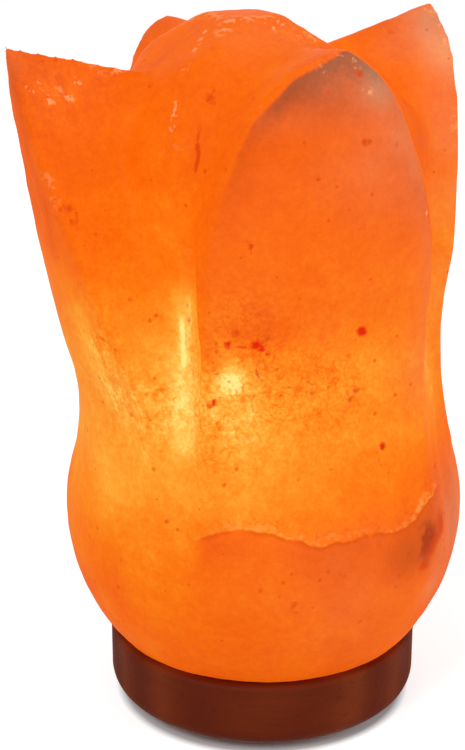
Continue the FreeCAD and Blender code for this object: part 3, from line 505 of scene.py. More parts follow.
SPECKS = {
    (320, 180): 0.8, (235, 250): 0.7, (248, 205): 0.7, (300, 298): 0.8, (340, 262): 0.8,
    (404, 200): 0.7, (395, 395): 0.9, (372, 425): 0.8, (332, 470): 0.9, (216, 345): 0.9, (92, 170): 0.7,
    (85, 245): 0.7, (150, 180): 0.6, (130, 300): 0.8, (105, 210): 0.6, (140, 520): 0.8, (120, 560): 0.8,
    (230, 575): 0.7, (345, 576): 0.9, (400, 577): 0.9, (260, 592): 1, (292, 575): 0.8, (164, 592): 0.9,
    (180, 90): 0.6, (163, 110): 0.6, (285, 110): 0.7, (350, 210): 0.8, (375, 250): 0.7, (445, 150): 0.7,
}
HOT_SPOTS = {
    (232, 384): (3.6, 3.8, 0.24), (229, 377): (8, 7, 0.12), (240, 418): (15, 12, 0.13),
    (330, 405): (22, 15, 0.08), (300, 508): (28, 9, 0.08), (125, 400): (12, 10, 0.1),
    (84, 335): (9, 13, 0.13), (105, 500): (15, 13, 0.05), (250, 610): (30, 14, 0.04),
    (262, 80): (12, 10, 0.06), (449, 160): (9, 14, 0.05), (444, 215): (11, 15, 0.08),
    (436, 300): (11, 17, 0.14), (429, 372): (9, 12, 0.1), (418, 428): (10, 9, 0.06),
    (70, 292): (9, 9, 0.06), (225, 345): (4, 3, 0.1), (300, 400): (8, 8, 0.03),
    (374, 352): (20, 10, 0.07), (398, 462): (15, 14, 0.05), (140, 450): (14, 9, 0.05),
    (192, 600): (22, 20, 0.03), (357, 76): (6, 5, 0.08),
}
DIM_SPOTS = {
    (250, 336): (10, 4.5, 0.16), (15, 75): (8, 10, 0.05), (150, 28): (9, 8, 0.05),
    (442, 500): (11, 13, 0.08), (352, 602): (26, 13, 0.06), (300, 292): (14, 11, 0.05),
    (432, 22): (6, 6, 0.14), (412, 550): (10, 8, 0.08), (208, 352): (3, 6, 0.1),
    (452, 480): (8, 11, 0.09), (455, 528): (8, 14, 0.08),
}
# Grey spots, by radius and strength; on those along the right edge the grey is a painted pale sheen.
GREY_AND_SHEEN_SPOTS = {
    (335, 60): (8, 0.12), (378, 90): (8, 0.3), (395, 130): (9, 0.22), (432, 20): (9, 0.85),
    (445, 45): (8, 0.7), (450, 88): (9, 0.42), (451, 140): (10, 0.26), (447, 200): (12, 0.2),
    (438, 290): (14, 0.17), (428, 370): (12, 0.22), (412, 38): (9, 0.16), (385, 50): (9, 0.1),
    (262, 28): (8, 0.14), (240, 45): (8, 0.12), (300, 40): (8, 0.16), (290, 65): (6, 0.08),
    (452, 524): (14, 0.75), (452, 475): (10, 0.18), (10, 60): (5, 0.14), (60, 92): (14, 0.08),
    (352, 600): (22, 0.14), (150, 30): (8, 0.08), (118, 392): (10, 0.12), (250, 560): (20, 0.04),
    (400, 185): (11, 0.18), (355, 165): (10, 0.14), (434, 585): (7, 0.4),
}
SCRAPES = {
    (100, 350): (9, 0.9), (122, 392): (12, 1), (148, 425): (8, 0.9), (55, 90): (11, 0.8),
    (95, 84): (8, 0.5), (300, 25): (7, 0.8), (318, 38): (6, 0.8), (235, 392): (14, 0.6),
    (345, 60): (8, 0.6), (330, 52): (6, 0.6),
}
CRACKLED = {(243, 330): (11, 1), (255, 388): (20, 1), (218, 425): (13, 1), (325, 392): (15, 1),
            (205, 350): (8, 1), (160, 400): (7, 1)}
CRACKLED_BACK = [(40, 48, 112), (-44, 40, 104), (52, 20, 118)]
CRACKLED_BACK_RADIUS = 16
BROWN_PATCH = [(427, 563), (434, 546), (441, 530), (443, 516)]
BROWN_PATCH_LINE = 0.9, 4.5
BROWN_HAZE = {(428, 540): (8, 1), (414, 552): (7, 0.8), (400, 557): (5, 0.4)}
CHIP_LINES = [
    [(206, 29), (199, 41), (193, 52)], [(189, 59), (183, 72)], [(176, 101), (171, 128)],
    [(268, 14), (284, 24), (300, 34)], [(312, 60), (322, 70)], [(338, 56), (352, 58), (360, 68)],
    [(366, 88), (371, 92)], [(441, 20), (444, 30), (446, 42)], [(429, 212), (431, 217)],
    [(40, 84), (52, 92), (60, 90)], [(72, 80), (84, 84)], [(28, 88), (34, 94)], [(48, 100), (55, 104)],
    [(66, 96), (73, 99)], [(306, 30), (318, 40)], [(270, 22), (280, 32)],
]
# Strength and width of lines, and how marks scatter and fray.
CHIP_LINE, CRACK_LINE, FRACTURE_LINE = (1, 1.4), (1, 1.2), (0.65, 1.3)
CHIPPED_RISE, CHIPPED_SHARE, CHIPPED_PARTS = (150, 205), 0.6, [(14, 1, 29)]
SPOT_RAGS = 1.8, 0.35
SPECK_COUNT, SPECK_RADII = 240, (0.5, 1.1)
BROWN_RAGS, CRACK_RAGS = [(2.6, 0.35, 9)], [(2, 0.25, 26)]


def remeshed_crystal():
    """Even skin over the crystal's solid, fine enough for small marks."""
    rough = new_object("crystal", NODES["salt_crystal"].data.copy())
    weld = rough.modifiers.new("weld", "WELD")
    weld.merge_threshold = WELD_GAP * MM
    remesh = rough.modifiers.new("remesh", "REMESH")
    remesh.mode = "VOXEL"
    remesh.voxel_size = VOXEL * MM
    apply_modifiers(rough)
    rough.data.name = "crystal"
    return rough


def petal_faces(places, out):
    """How hazy the petals' outer faces are at each place, 0 beside them.

    Also how far inside the face's outline it lies, and its side: -1 left edge, 1 right edge.
    """
    haze, inset, side = np.zeros((3, len(places)))
    level_out = np.maximum(lengths(out[:, :2]), 0.2)
    for azimuth, arch in PETAL_ARCHES.items():
        turn = radians(azimuth)
        across = places[:, :2] @ (cos(turn), sin(turn))
        ahead = places[:, :2] @ (sin(turn), -cos(turn))
        facing = rise(out[:, :2] @ (sin(turn), -cos(turn)) / level_out, *FACING_RISE)
        heights, left, right = np.array(arch, float).T
        half = np.interp(places[:, 2], heights, left)
        half = np.where(across < 0, half, np.interp(places[:, 2], heights, right))
        inside = half - np.abs(across)
        here = PETAL_HAZE[azimuth] * facing * rise(inside, *FACE_EDGE_RISE)
        here *= ahead > PETAL_LEAST_REACH
        more = here > haze
        haze[more] = here[more]
        inset[more] = inside[more]
        side[more] = (across / np.maximum(half, 1))[more]
    return haze, inset, side


def groove_gap(places, azimuth):
    """Distance in plan from a groove's bottom, in mm."""
    turn = radians(azimuth)
    (low, low_reach), (high, high_reach) = GROOVE_LOW, GROOVE_HIGH
    out = low_reach + (high_reach - low_reach) * (places[:, 2] - low) / (high - low)
    return np.hypot(places[:, 0] - sin(turn) * out, places[:, 1] + cos(turn) * out)


class Skin:
    """The crystal's skin and marks on it, placed by pixels of the photograph."""

    def __init__(self, mesh):
        corners = [v.co for v in mesh.vertices]
        self.hard = BVHTree.FromPolygons(corners, [p.vertices for p in mesh.polygons])
        self.places, self.out, self.edge = softened(mesh)

    def at(self, pixel):
        """Place that shows at a pixel, or the nearest to it beside the outline."""
        direction = ray_through(*pixel)
        hit = self.hard.ray_cast(CAMERA_PLACE, direction)[0]
        if hit is None:
            hit = self.hard.find_nearest(CAMERA_PLACE + direction * CRYSTAL_DISTANCE)[0]
        return np.array(hit) / MM

    def line(self, pixels):
        return [self.at(pixel) for pixel in pixels]

    def gap(self, pixels):
        """Distance from a line through pixels."""
        return reach(self.places, self.line(pixels))

    def blots(self, marks):
        """Soft blots, by one radius or by one across and one upright, and by their strength."""
        for pixel, (*radii, strength) in marks.items():
            yield strength * spread(self.places, self.at(pixel), (radii[0], radii[0], radii[-1]))

    def patches(self, marks):
        """Soft blots that don't add up where they overlap."""
        return np.max(list(self.blots(marks)), axis=0)

    def lines(self, drawn, strength, width):
        """The strength on a line, falling to both sides by 1 within the width."""
        return np.max([strength - self.gap(line) / width for line in drawn], axis=0)

    def spots(self, sizes, seed):
        """1 in the middle of a spot, falling straight to 0 at its edge and -1 outside."""
        ragged = 1 + grains(self.places, [(*SPOT_RAGS, seed)])
        return np.max([1 - lengths(self.places - self.at(pixel)) / (radius * ragged)
                       for pixel, radius in sizes.items()], axis=0).clip(-1)

    def scattered(self, count, seed):
        """Small specks all over, as spots() gives them."""
        rng = np.random.default_rng(seed)
        field = np.full(len(self.places), -1.0)
        for _ in range(count):
            middle = self.places[rng.integers(len(self.places))]
            gap = lengths(self.places - middle) / rng.uniform(*SPECK_RADII)
            field = np.maximum(field, 1 - gap)
        return field

    def in_bore(self):
        wall = np.hypot(self.places[:, 0], self.places[:, 1])
        return (wall < BORE_SKIN_RADIUS) & (self.places[:, 2] < BORE_SKIN_TOP)


def ledge_height(skin):
    """Height over the ragged front ledge in mm, and where the ledge runs (1) or not (0)."""
    x, y, z = skin.places.T
    azimuth = np.degrees(np.arctan2(x, -y))
    line = skin.line(FRONT_LEDGE)
    turns, heights = zip(*sorted((degrees(atan2(p[0], -p[1])), p[2]) for p in line))
    height = z - np.interp(azimuth, turns, heights) + grains(skin.places, LEDGE_RAGS)
    runs = rise(azimuth - turns[0], *LEDGE_START_FADE)
    runs *= 1 - rise(azimuth - turns[-1], *LEDGE_END_FADE)
    return height, runs * (np.hypot(x, y) > LEDGE_LEAST_RADIUS)


def carved(skin, ledge, on_ledge):
    """Depth of tool marks, dents and chips at each place, along the normal, in mm."""
    places = skin.places
    depth = grains(places, TOOL_MARKS) + grains(places * UPRIGHT, UPRIGHT_STROKES) - SKIN_SINK
    torn = (0.6 + grains(places, LIP_TEARS)) * (0.8 + grains(places, LIP_STRETCHES))
    depth += on_ledge * LIP_RELIEF * torn * bell(ledge, *LIP)
    depth -= on_ledge * UNDERCUT_RELIEF * bell(ledge, *UNDERCUT)
    ragged = np.clip(1 + grains(places, RAGGED_LINES), 0, 2)
    for line, deep, width, is_ragged in CUTS:
        cut = deep * bell(skin.gap(line), 0, width)
        depth -= cut * ragged if is_ragged else cut
    for pixel, radius in PITS.items():
        depth -= PIT_DEPTH * spread(places, skin.at(pixel), radius)
    depth += sum(skin.blots(SCRAPES)) * (grains(places, SCRAPE_RELIEF) - SCRAPE_SINK)
    depth[skin.in_bore() | (places[:, 2] < FOOT_TOP)] = 0
    return depth


def lit_from_inside(skin):
    """Glow of the skin: about 0.5 over most of it, 1 where hottest."""
    places = skin.places
    height = places[:, 2]
    wall = np.hypot(places[:, 0], places[:, 1])
    glow = GLOW_FAR + GLOW_CLOSE * bell(lengths(places - LIGHT_PLACE), 0, LIGHT_REACH)
    glow += TOP_GLOW * rise(height, *TOP_GLOW_RISE) * bell(wall, 0, TOP_GLOW_REACH)
    uneven = np.clip(0.8 + grains(places, UNEVEN_GLOW), 0, 1.2)
    for line, strength, width, is_uneven in GLOW_LINES:
        shine = strength * bell(skin.gap(line), 0, width)
        glow += shine * uneven if is_uneven else shine
    for azimuth, strength in GROOVES.items():
        gap = groove_gap(places, azimuth)
        for share, width, middle, length in GROOVE_SHINES:
            glow += share * strength * bell(gap, 0, width) * bell(height, middle, length)
    glow += sum(skin.blots(HOT_SPOTS)) - sum(skin.blots(DIM_SPOTS))
    bore_glow = BORE_GLOW_LEAST + BORE_GLOW * bell(height, *BORE_GLOW_BELL)
    return np.where(skin.in_bore(), bore_glow, glow)


def hazed(skin, glow):
    """Dull outer faces and tips: greyness, with a painted pale sheen on the right rims, and the glow
    without what it takes.
    """
    places = skin.places
    haze, inset, side = petal_faces(places, skin.out)
    height = places[:, 2]
    tip = haze * rise(height, *TIP_RISE)
    rim = haze * bell(inset, *RIM)
    left = rim * rise(-side, 0, RIM_SIDE) * rise(height, *LEFT_RISE)
    right = rim * rise(side, 0, RIM_SIDE) * rise(height, *RIGHT_RISE)
    # On faces and tips this grey is the skin's own; on the right rims it is a painted pale sheen.
    grey = FACE_GREY * haze * rise(height, *FACE_GREY_RISE) + TIP_GREY * tip + RIGHT_SHEEN * right
    dim = FACE_DIM * haze * rise(height, *FACE_DIM_RISE) + TIP_DIM * tip
    dim += LEFT_DIM * left + RIGHT_DIM * right
    grey += sum(skin.blots(GREY_AND_SHEEN_SPOTS))
    return grey * (1 + grains(places, GREY_CLOUDS)), glow - dim * (1 + grains(places, DIM_CLOUDS))


def softened(mesh):
    """Round the sharp edges, more where they are chipped.

    Gives the places, the normals, and where the edges are (1) or not (0).
    """
    start = vectors(mesh, "co") / MM
    soft = eased(mesh, start, SOFT_ROUNDS)
    softer = eased(mesh, soft, SOFTER_ROUNDS)
    chips = np.clip(grains(start, CHIPPING), 0, 1)
    sharpness = np.clip(lengths(soft - softer) / SHARP_SHIFT, 0, 1)
    share = sharpness * (WORN_SHARE + (1 - WORN_SHARE) * chips)
    places = soft + (softer - soft) * share[:, None]
    move_to(mesh, places)
    out = vectors(mesh, "normal")
    return places, out, np.clip(np.sum((soft - softer) * out, axis=1) / EDGE_SHIFT, 0, 1)


def make_crystal():
    crystal = remeshed_crystal()
    mesh = crystal.data
    skin = Skin(mesh)
    places = skin.places
    ledge, on_ledge = ledge_height(skin)
    move_to(mesh, places + skin.out * carved(skin, ledge, on_ledge)[:, None])

    grey, glow = hazed(skin, lit_from_inside(skin))
    crack = np.maximum(skin.lines([DARK_CRACK], *CRACK_LINE),
                       skin.lines(FRACTURES + LEFT_MARKS + [CREASE], *FRACTURE_LINE))
    chipped = CHIPPED_SHARE * skin.edge * rise(places[:, 2], *CHIPPED_RISE)
    chipped *= rise(grains(places, CHIPPED_PARTS), 0.1, 0.5)
    crackled = skin.patches(CRACKLED)
    for place in CRACKLED_BACK:
        crackled = np.maximum(crackled, spread(places, place, CRACKLED_BACK_RADIUS))
    brown = np.maximum(skin.spots(BROWN_SPOTS, 12), skin.lines([BROWN_PATCH], *BROWN_PATCH_LINE))
    fields = {
        "glow": glow, "grey": grey, "ledge": ledge, "on_ledge": on_ledge, "crackled": crackled,
        "red": skin.spots(RED_SPOTS, 8), "brown": brown + grains(places, BROWN_RAGS),
        "speck": np.maximum(skin.spots(SPECKS, 25), skin.scattered(SPECK_COUNT, 11)),
        "crack": crack + grains(places, CRACK_RAGS), "tan": skin.patches(BROWN_HAZE),
        "scrape": skin.patches(SCRAPES),
        "chipped": np.maximum(chipped, skin.lines(CHIP_LINES, *CHIP_LINE)),
    }
    for name, field in fields.items():
        mesh.attributes.new(name, "FLOAT", "POINT").data.foreach_set("value", field)
    mesh.shade_smooth()
    mesh.materials.clear()
    mesh.materials.append(rock_salt())
    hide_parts("salt_crystal")
    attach(crystal, "base")


# The salt's skin in room light, clear and grey, the grey also giving the painted pale sheen on the right
# rims, and its glow by level.
CLEAR_SKIN, GREY_AND_SHEEN_SKIN = (0.400, 0.050, 0.001), (0.350, 0.200, 0.115)
GLOW_COLOURS = [
    (0, (0.05, 0.004, 0)), (0.2, (0.32, 0.034, 0)), (0.4, (0.53, 0.07, 0.001)),
    (0.5, (0.6, 0.1, 0.001)), (0.6, (0.63, 0.15, 0.003)), (0.7, (0.64, 0.23, 0.012)),
    (0.8, (0.66, 0.34, 0.033)), (0.9, (0.7, 0.52, 0.09)), (1, (0.8, 0.78, 0.24)),
]
# What marks turn skin and glow into; the later ones cover the earlier.
MARK_COLOURS = {
    "speck": ((0.3, 0.019, 0.001), (0.46, 0.025, 0)),
    "crack": ((0.28, 0.018, 0.001), (0.44, 0.025, 0)),
    "tan": ((0.26, 0.05, 0.014), (0.33, 0.045, 0.001)),
    "tan core": ((0.2, 0.018, 0.004), (0.2, 0.012, 0)),
    "brown": ((0.3, 0.025, 0.002), (0.42, 0.032, 0)),
    "red": ((0.36, 0.008, 0.001), (0.46, 0.006, 0)),
    "shade": ((0.3, 0.03, 0.002), (0.44, 0.045, 0)),
    "torn": ((0.46, 0.13, 0.045), (0.62, 0.22, 0.025)),
    "chipped": ((0.6, 0.3, 0.16), (0.5, 0.14, 0.02)),
}


def rock_salt():
    salt = Shader("rock_salt", Roughness=0.5, Specular_IOR_Level=0.04, Emission_Strength=1)
    fit, product, noise = salt.fit, salt.product, salt.noise
    clouds = noise(0.024, detail=5, roughness=0.6, distortion=0.5)
    fine = noise(0.0026, detail=4, roughness=0.7)
    grit = noise(0.0012, detail=3, roughness=0.6)
    flakes = noise(0.0019, detail=2, roughness=0.5)
    patchy = noise(0.007, detail=3)
    smears = noise(0.0042, detail=5, roughness=0.7)
    strokes = noise(0.0028, detail=4, roughness=0.6, place=salt.stretched(1, 1, 0.3, STROKE_TILT))
    jitter = fit(fine, 0.25, 0.75, -0.35, 0.35)
    scrape, crackled, tan = (salt.attribute(name) for name in ("scrape", "crackled", "tan"))

    # crackle in the hot part: broken thin veins, and smudges between them
    veins = salt.veins(0.0046, salt.warped(0.004, 0.005))
    crackle = product(fit(veins, 0, 0.08, 1, 0), fit(patchy, 0.46, 0.60), fit(crackled, 0.15, 0.7))
    smudges = product(fit(smears, 0.54, 0.66), fit(crackled, 0.1, 0.8))

    # the ledge: shadow below it, pale torn flakes and thin layers above
    ledge = salt.total(salt.attribute("ledge"), product(jitter, 1.4))
    on_ledge = salt.attribute("on_ledge")
    under = product(fit(ledge, -20, -1), fit(ledge, -0.5, 0.3, 1, 0), on_ledge)
    shade = product(fit(ledge, -1.6, -0.4), fit(ledge, -0.3, 0.2, 1, 0), on_ledge,
                    fit(patchy, 0.38, 0.52))
    beyond = salt.maths("SUBTRACT", ledge, fit(patchy, 0.35, 0.62, 0.2, 3.6))
    torn = product(fit(ledge, 0.0, 0.4), fit(beyond, -1.0, 0.3, 1, 0), on_ledge,
                   fit(flakes, 0.44, 0.56), fit(clouds, 0.42, 0.56, 0.25, 1))
    seam = fit(salt.maths("ABSOLUTE", salt.maths("SUBTRACT", patchy, 0.5)), 0, 0.02, 1, 0)
    layers = product(seam, fit(ledge, 0.2, 1.0), fit(ledge, 3.0, 7.0, 1, 0), on_ledge)

    level = salt.total(
        salt.attribute("glow"), fit(clouds, 0.3, 0.7, -0.07, 0.07),
        fit(fine, 0.3, 0.7, -0.045, 0.045), fit(grit, 0.3, 0.7, -0.025, 0.025),
        # Scraped strokes: painted light on their ridges and painted shade in their hollows, following
        # their bump.
        product(scrape, fit(strokes, 0.3, 0.7, -0.11, 0.13)),
        product(salt.maths("MAXIMUM", scrape, crackled), fit(grit, 0.35, 0.65, -0.05, 0.05)),
        product(crackle, -0.12), product(smudges, -0.16), product(layers, -0.09),
        product(under, -0.15),
    )
    lit = salt.ramp(level, GLOW_COLOURS)
    # The grey skin also paints a pale sheen on the right rims.
    skin = salt.blend(salt.attribute("grey"), CLEAR_SKIN, GREY_AND_SHEEN_SKIN)

    def mark(name, low, high, most):
        return fit(salt.total(salt.attribute(name), jitter), low, high, 0, most)
    masks = {
        "speck": mark("speck", 0.1, 0.5, 0.5), "crack": mark("crack", 0.30, 0.75, 0.75),
        "tan": product(tan, fit(patchy, 0.3, 0.6, 0.5, 1)),
        "tan core": product(fit(tan, 0.45, 0.85), fit(patchy, 0.44, 0.56, 0, 0.7)),
        "brown": mark("brown", 0.10, 0.75, 0.75), "red": mark("red", 0.00, 0.60, 0.95),
        "shade": product(shade, 0.5), "torn": product(torn, 0.6),
        "chipped": product(fit(salt.attribute("chipped"), 0.10, 0.70), fit(flakes, 0.52, 0.58), 0.65),
    }
    for name, (dull, shining) in MARK_COLOURS.items():
        skin = salt.blend(masks[name], skin, dull)
        lit = salt.blend(masks[name], lit, shining)
    salt.put("Base Color", skin)
    salt.put("Emission Color", lit)
    salt.put("Roughness", fit(fine, 0.3, 0.7, 0.40, 0.66))
    under_skin = salt.bump(clouds, 0.0006)
    under_skin = salt.bump(product(scrape, strokes), 0.0012, under_skin)
    salt.bump(fine, 0.0003, under_skin)
    salt.material.cycles.emission_sampling = "NONE"
    return salt.material


# ---- finishes of the other pieces

METAL = {"Metallic": 1}
# Dark and light colour, highest and lowest roughness, size and depth of the grit in millimetres,
# and other sockets.
FINISHES = {
    "brass": ((0.56, 0.36, 0.13), (0.7, 0.48, 0.2), 0.42, 0.26, 0.8, 0.03, METAL),
    "spring_brass": ((0.6, 0.42, 0.2), (0.72, 0.54, 0.3), 0.34, 0.2, 0.6, 0.02, METAL),
    "bulb_brass": ((0.62, 0.5, 0.3), (0.74, 0.64, 0.42), 0.36, 0.2, 0.8, 0.03, METAL),
    "spring_steel": ((0.42, 0.43, 0.45), (0.56, 0.57, 0.6), 0.4, 0.24, 0.7, 0.03, METAL),
    "zinc_steel": ((0.5, 0.5, 0.46), (0.64, 0.64, 0.6), 0.45, 0.3, 0.6, 0.03, METAL),
    "black_phenolic": ((0.018, 0.017, 0.017), (0.034, 0.032, 0.031), 0.42, 0.26, 0.9, 0.04, {}),
    "black_rubber": ((0.022, 0.022, 0.023), (0.045, 0.044, 0.042), 0.86, 0.68, 0.7, 0.08,
                     {"Specular_IOR_Level": 0.25}),
    "soft_grommet": ((0.03, 0.03, 0.031), (0.055, 0.054, 0.053), 0.74, 0.55, 0.6, 0.05,
                     {"Specular_IOR_Level": 0.3}),
    "white_nylon": ((0.66, 0.64, 0.58), (0.76, 0.74, 0.69), 0.52, 0.36, 0.9, 0.04, {}),
    "white_ceramic": ((0.66, 0.62, 0.55), (0.76, 0.73, 0.67), 0.42, 0.22, 0.8, 0.04, {}),
    "black_glass": ((0.01, 0.01, 0.014), (0.022, 0.022, 0.028), 0.16, 0.06, 1, 0.02, {}),
    "solder": ((0.48, 0.48, 0.5), (0.62, 0.62, 0.64), 0.46, 0.28, 0.6, 0.06, METAL),
    "nickel_wire": ((0.44, 0.41, 0.37), (0.58, 0.55, 0.5), 0.38, 0.22, 0.5, 0.01, METAL),
}
# Solids that show as they are, and their finish.
DRESSED = {
    "non_slip_ring": "black_rubber", "crystal_anchors": "white_nylon", "holder_cap": "black_phenolic",
    "inlet_bush": "soft_grommet", "contact_block": "white_ceramic", "centre_contact": "spring_brass",
    "shell_terminal": "brass", "centre_terminal": "brass", "clip_strap": "spring_steel",
    "clip_wing_right": "spring_steel", "clip_wing_left": "spring_steel", "cap_insulator": "black_glass",
    "cap_contact": "solder", "lead_wires": "nickel_wire", "filament_support": "nickel_wire",
}
WOOD_COLOURS = [
    (0.25, (0.12, 0.015, 0.003)), (0.5, (0.148, 0.021, 0.004)), (0.75, (0.185, 0.031, 0.007)),
]
PORE_COLOUR = (0.055, 0.009, 0.004)


def turned_wood():
    wood = Shader("dark_wood", Roughness=0.6, Specular_IOR_Level=0.07)
    figure = wood.noise(0.02, detail=4, distortion=1.2, place=wood.stretched(0.35, 1, 1))
    rings = wood.waves(0.05, 4, place=wood.stretched(0.25, 1, 1))
    pores = wood.noise(0.0012, detail=3, place=wood.stretched(0.12, 1, 1))
    tone = wood.total(wood.maths("MULTIPLY", figure, 0.6), wood.maths("MULTIPLY", rings, 0.4))
    colour = wood.ramp(tone, WOOD_COLOURS)
    colour = wood.blend(wood.fit(pores, 0.60, 0.78, 0, 0.6), colour, PORE_COLOUR)
    wood.put("Base Color", colour)
    wood.put("Roughness", wood.fit(figure, 0.3, 0.7, 0.48, 0.68))
    wood.bump(pores, 0.0003)
    return wood.material


def finish(name, dark, light, dull, bright, grit, depth, sockets):
    """Cloudy tone, fine grit in colour, gloss and bump, and faint rubbed streaks."""
    made = Shader(name, **sockets)
    clouds = made.noise(0.012, detail=4, distortion=0.4)
    speckle = made.noise(grit * MM, detail=3, roughness=0.6)
    streaks = made.noise(0.0016, detail=3, place=made.stretched(0.15, 1, 1))
    colour = made.blend(made.fit(clouds, 0.3, 0.7), dark, light)
    worn = tuple(0.55 * part for part in dark)
    colour = made.blend(made.fit(speckle, 0.58, 0.75, 0, 0.5), colour, worn)
    colour = made.blend(made.fit(streaks, 0.66, 0.74, 0, 0.35), colour, light)
    made.put("Base Color", colour)
    made.put("Roughness", made.fit(clouds, 0.3, 0.7, bright, dull))
    made.bump(speckle, depth * MM)
    return made.material


def dress(node, material):
    """Give a solid its finish."""
    NODES[node].data.materials.clear()
    NODES[node].data.materials.append(material)


# ---- small turned pieces

SMOOTH_ANGLE = radians(35)
THREAD_PITCH, THREAD_DEPTH = 2.82, 0.55
SCREW_PITCH, SCREW_THREAD_DEPTH, SCREW_CIRCLE = 1.6, 0.5, 31
TERMINAL_PITCH, TERMINAL_THREAD_DEPTH = 0.5, 0.2
COIL_TURNS, COIL_RADIUS, WIRE_RADIUS = 70, 0.27, 0.06
RIB_COUNT, RIB_DEPTH = 24, 0.6
OUTLINE_STEP = 0.35
MERGE = 1e-7


def mesh_object(name, verts, faces):
    """Object from places in mm, with merged doubles and outward faces."""
    work = bmesh.new()
    made = [work.verts.new(place) for place in np.asarray(verts, float) * MM]
    for face in faces:
        work.faces.new([made[i] for i in face])
    bmesh.ops.remove_doubles(work, verts=work.verts, dist=MERGE)
    bmesh.ops.dissolve_degenerate(work, edges=work.edges, dist=MERGE)
    bmesh.ops.recalc_face_normals(work, faces=work.faces)
    mesh = bpy.data.meshes.new(name)
    work.to_mesh(mesh)
    work.free()
    mesh.shade_smooth()
    mesh.set_sharp_from_angle(angle=SMOOTH_ANGLE)
    return new_object(name, mesh)


def stepped(outline, step):
    """The closed outline, its long sides divided."""
    points = []
    for start, end in zip(outline, outline[1:] + outline[:1]):
        count = max(1, ceil(dist(start, end) / step))
        for part in range(count):
            share = part / count
            points.append(tuple(a + (b - a) * share for a, b in zip(start, end)))
    return points


def bands(pairs, count):
    """Faces between pairs of rings; count is the vertices of a ring."""
    return [(a * count + j, b * count + j, b * count + (j + 1) % count, a * count + (j + 1) % count)
            for a, b in pairs for j in range(count)]


def lathe(name, outline, segments=72, shape=None, centre=(0, 0)):
    """Turn a closed outline of radii and heights; shape(angle, radius, height) alters radii."""
    radius, height = np.array(outline, float).T
    angle = np.arange(segments)[:, None] * 2 * pi / segments
    radius, height = radius + 0 * angle, height + 0 * angle
    if shape:
        radius = shape(angle, radius, height)
    x, y = centre[0] + radius * np.cos(angle), centre[1] + radius * np.sin(angle)
    verts = np.stack([x, y, height], axis=-1).reshape(-1, 3)
    pairs = [(i, (i + 1) % segments) for i in range(segments)]
    return mesh_object(name, verts, bands(pairs, len(outline)))


def tube(name, line, radius, sides=6):
    """Round tube along points, with closed ends."""
    line = np.array(line, float)
    ahead = np.gradient(line, axis=0)
    ahead /= lengths(ahead)[:, None]
    across = np.cross(ahead, (0.0, 1.0, 0.0))
    across /= lengths(across)[:, None]
    above = np.cross(across, ahead)
    angle = (np.arange(sides) * 2 * pi / sides)[:, None]
    spokes = np.cos(angle) * across[:, None] + np.sin(angle) * above[:, None]
    rings = line[:, None] + radius * spokes
    last = len(line) - 1
    ends = [range(sides), range(last * sides, last * sides + sides)]
    faces = bands(zip(range(last), range(1, last + 1)), sides)
    return mesh_object(name, rings.reshape(-1, 3), faces + ends)


def join(name, things):
    work = bmesh.new()
    for thing in things:
        work.from_mesh(thing.data)
    mesh = bpy.data.meshes.new(name)
    work.to_mesh(mesh)
    work.free()
    for thing in things:
        bpy.data.objects.remove(thing)
    mesh.set_sharp_from_angle(angle=SMOOTH_ANGLE)
    return new_object(name, mesh)


def block(name, low, high):
    corners = [(x, y, z) for x in (low[0], high[0]) for y in (low[1], high[1]) for z in (low[2], high[2])]
    faces = [(0, 1, 3, 2), (4, 6, 7, 5), (0, 4, 5, 1), (2, 3, 7, 6), (0, 2, 6, 4), (1, 5, 7, 3)]
    return mesh_object(name, corners, faces)


def cut_out(thing, tools):
    for tool in tools:
        cut = thing.modifiers.new("cut", "BOOLEAN")
        cut.object = tool
        cut.solver = "EXACT"
    apply_modifiers(thing)
    for tool in tools:
        bpy.data.objects.remove(tool)


def settle(thing, node, body, material):
    """Put a finished piece in the place of its solid."""
    thing.data.materials.clear()
    thing.data.materials.append(material)
    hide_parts(node)
    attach(thing, body)


def helix(pitch, depth, low, high):
    """Thread for lathe(): radii shrink by up to depth along a right-handed helix."""
    def shape(angle, radius, height):
        wave = 0.5 - 0.5 * np.cos(2 * pi * (height / pitch - angle / (2 * pi)))
        held = rise(height, low, low + pitch / 2) * (1 - rise(height, high - pitch / 2, high))
        return radius - depth * wave * held * (radius > depth)
    return shape


def make_bulb_cap(material):
    outline = [
        (4.15, 61.6), (5.5, 61.6), (7, 63.1), (7, 85.2), (6.9, 85.6), (6.6, 85.6), (6.6, 63.3),
        (5.4, 62), (4.15, 62),
    ]
    threads = helix(THREAD_PITCH, THREAD_DEPTH, 63.6, 79)
    cap = lathe("threaded_bulb_cap", stepped(outline, OUTLINE_STEP), 96, threads)
    settle(cap, "bulb_cap", "bulb_base", material)


def make_screw_shell(material):
    outline = [(4, 56), (7.8, 56), (7.8, 78), (7.3, 78), (7.3, 56.5), (4, 56.5)]
    threads = helix(THREAD_PITCH, THREAD_DEPTH, 58, 76.5)

    def shape(angle, radius, height):
        return np.where(radius > 7, threads(angle, radius, height), radius)
    shell = lathe("rolled_screw_shell", stepped(outline, OUTLINE_STEP), 96, shape)
    settle(shell, "screw_shell", "lamp_holder", material)


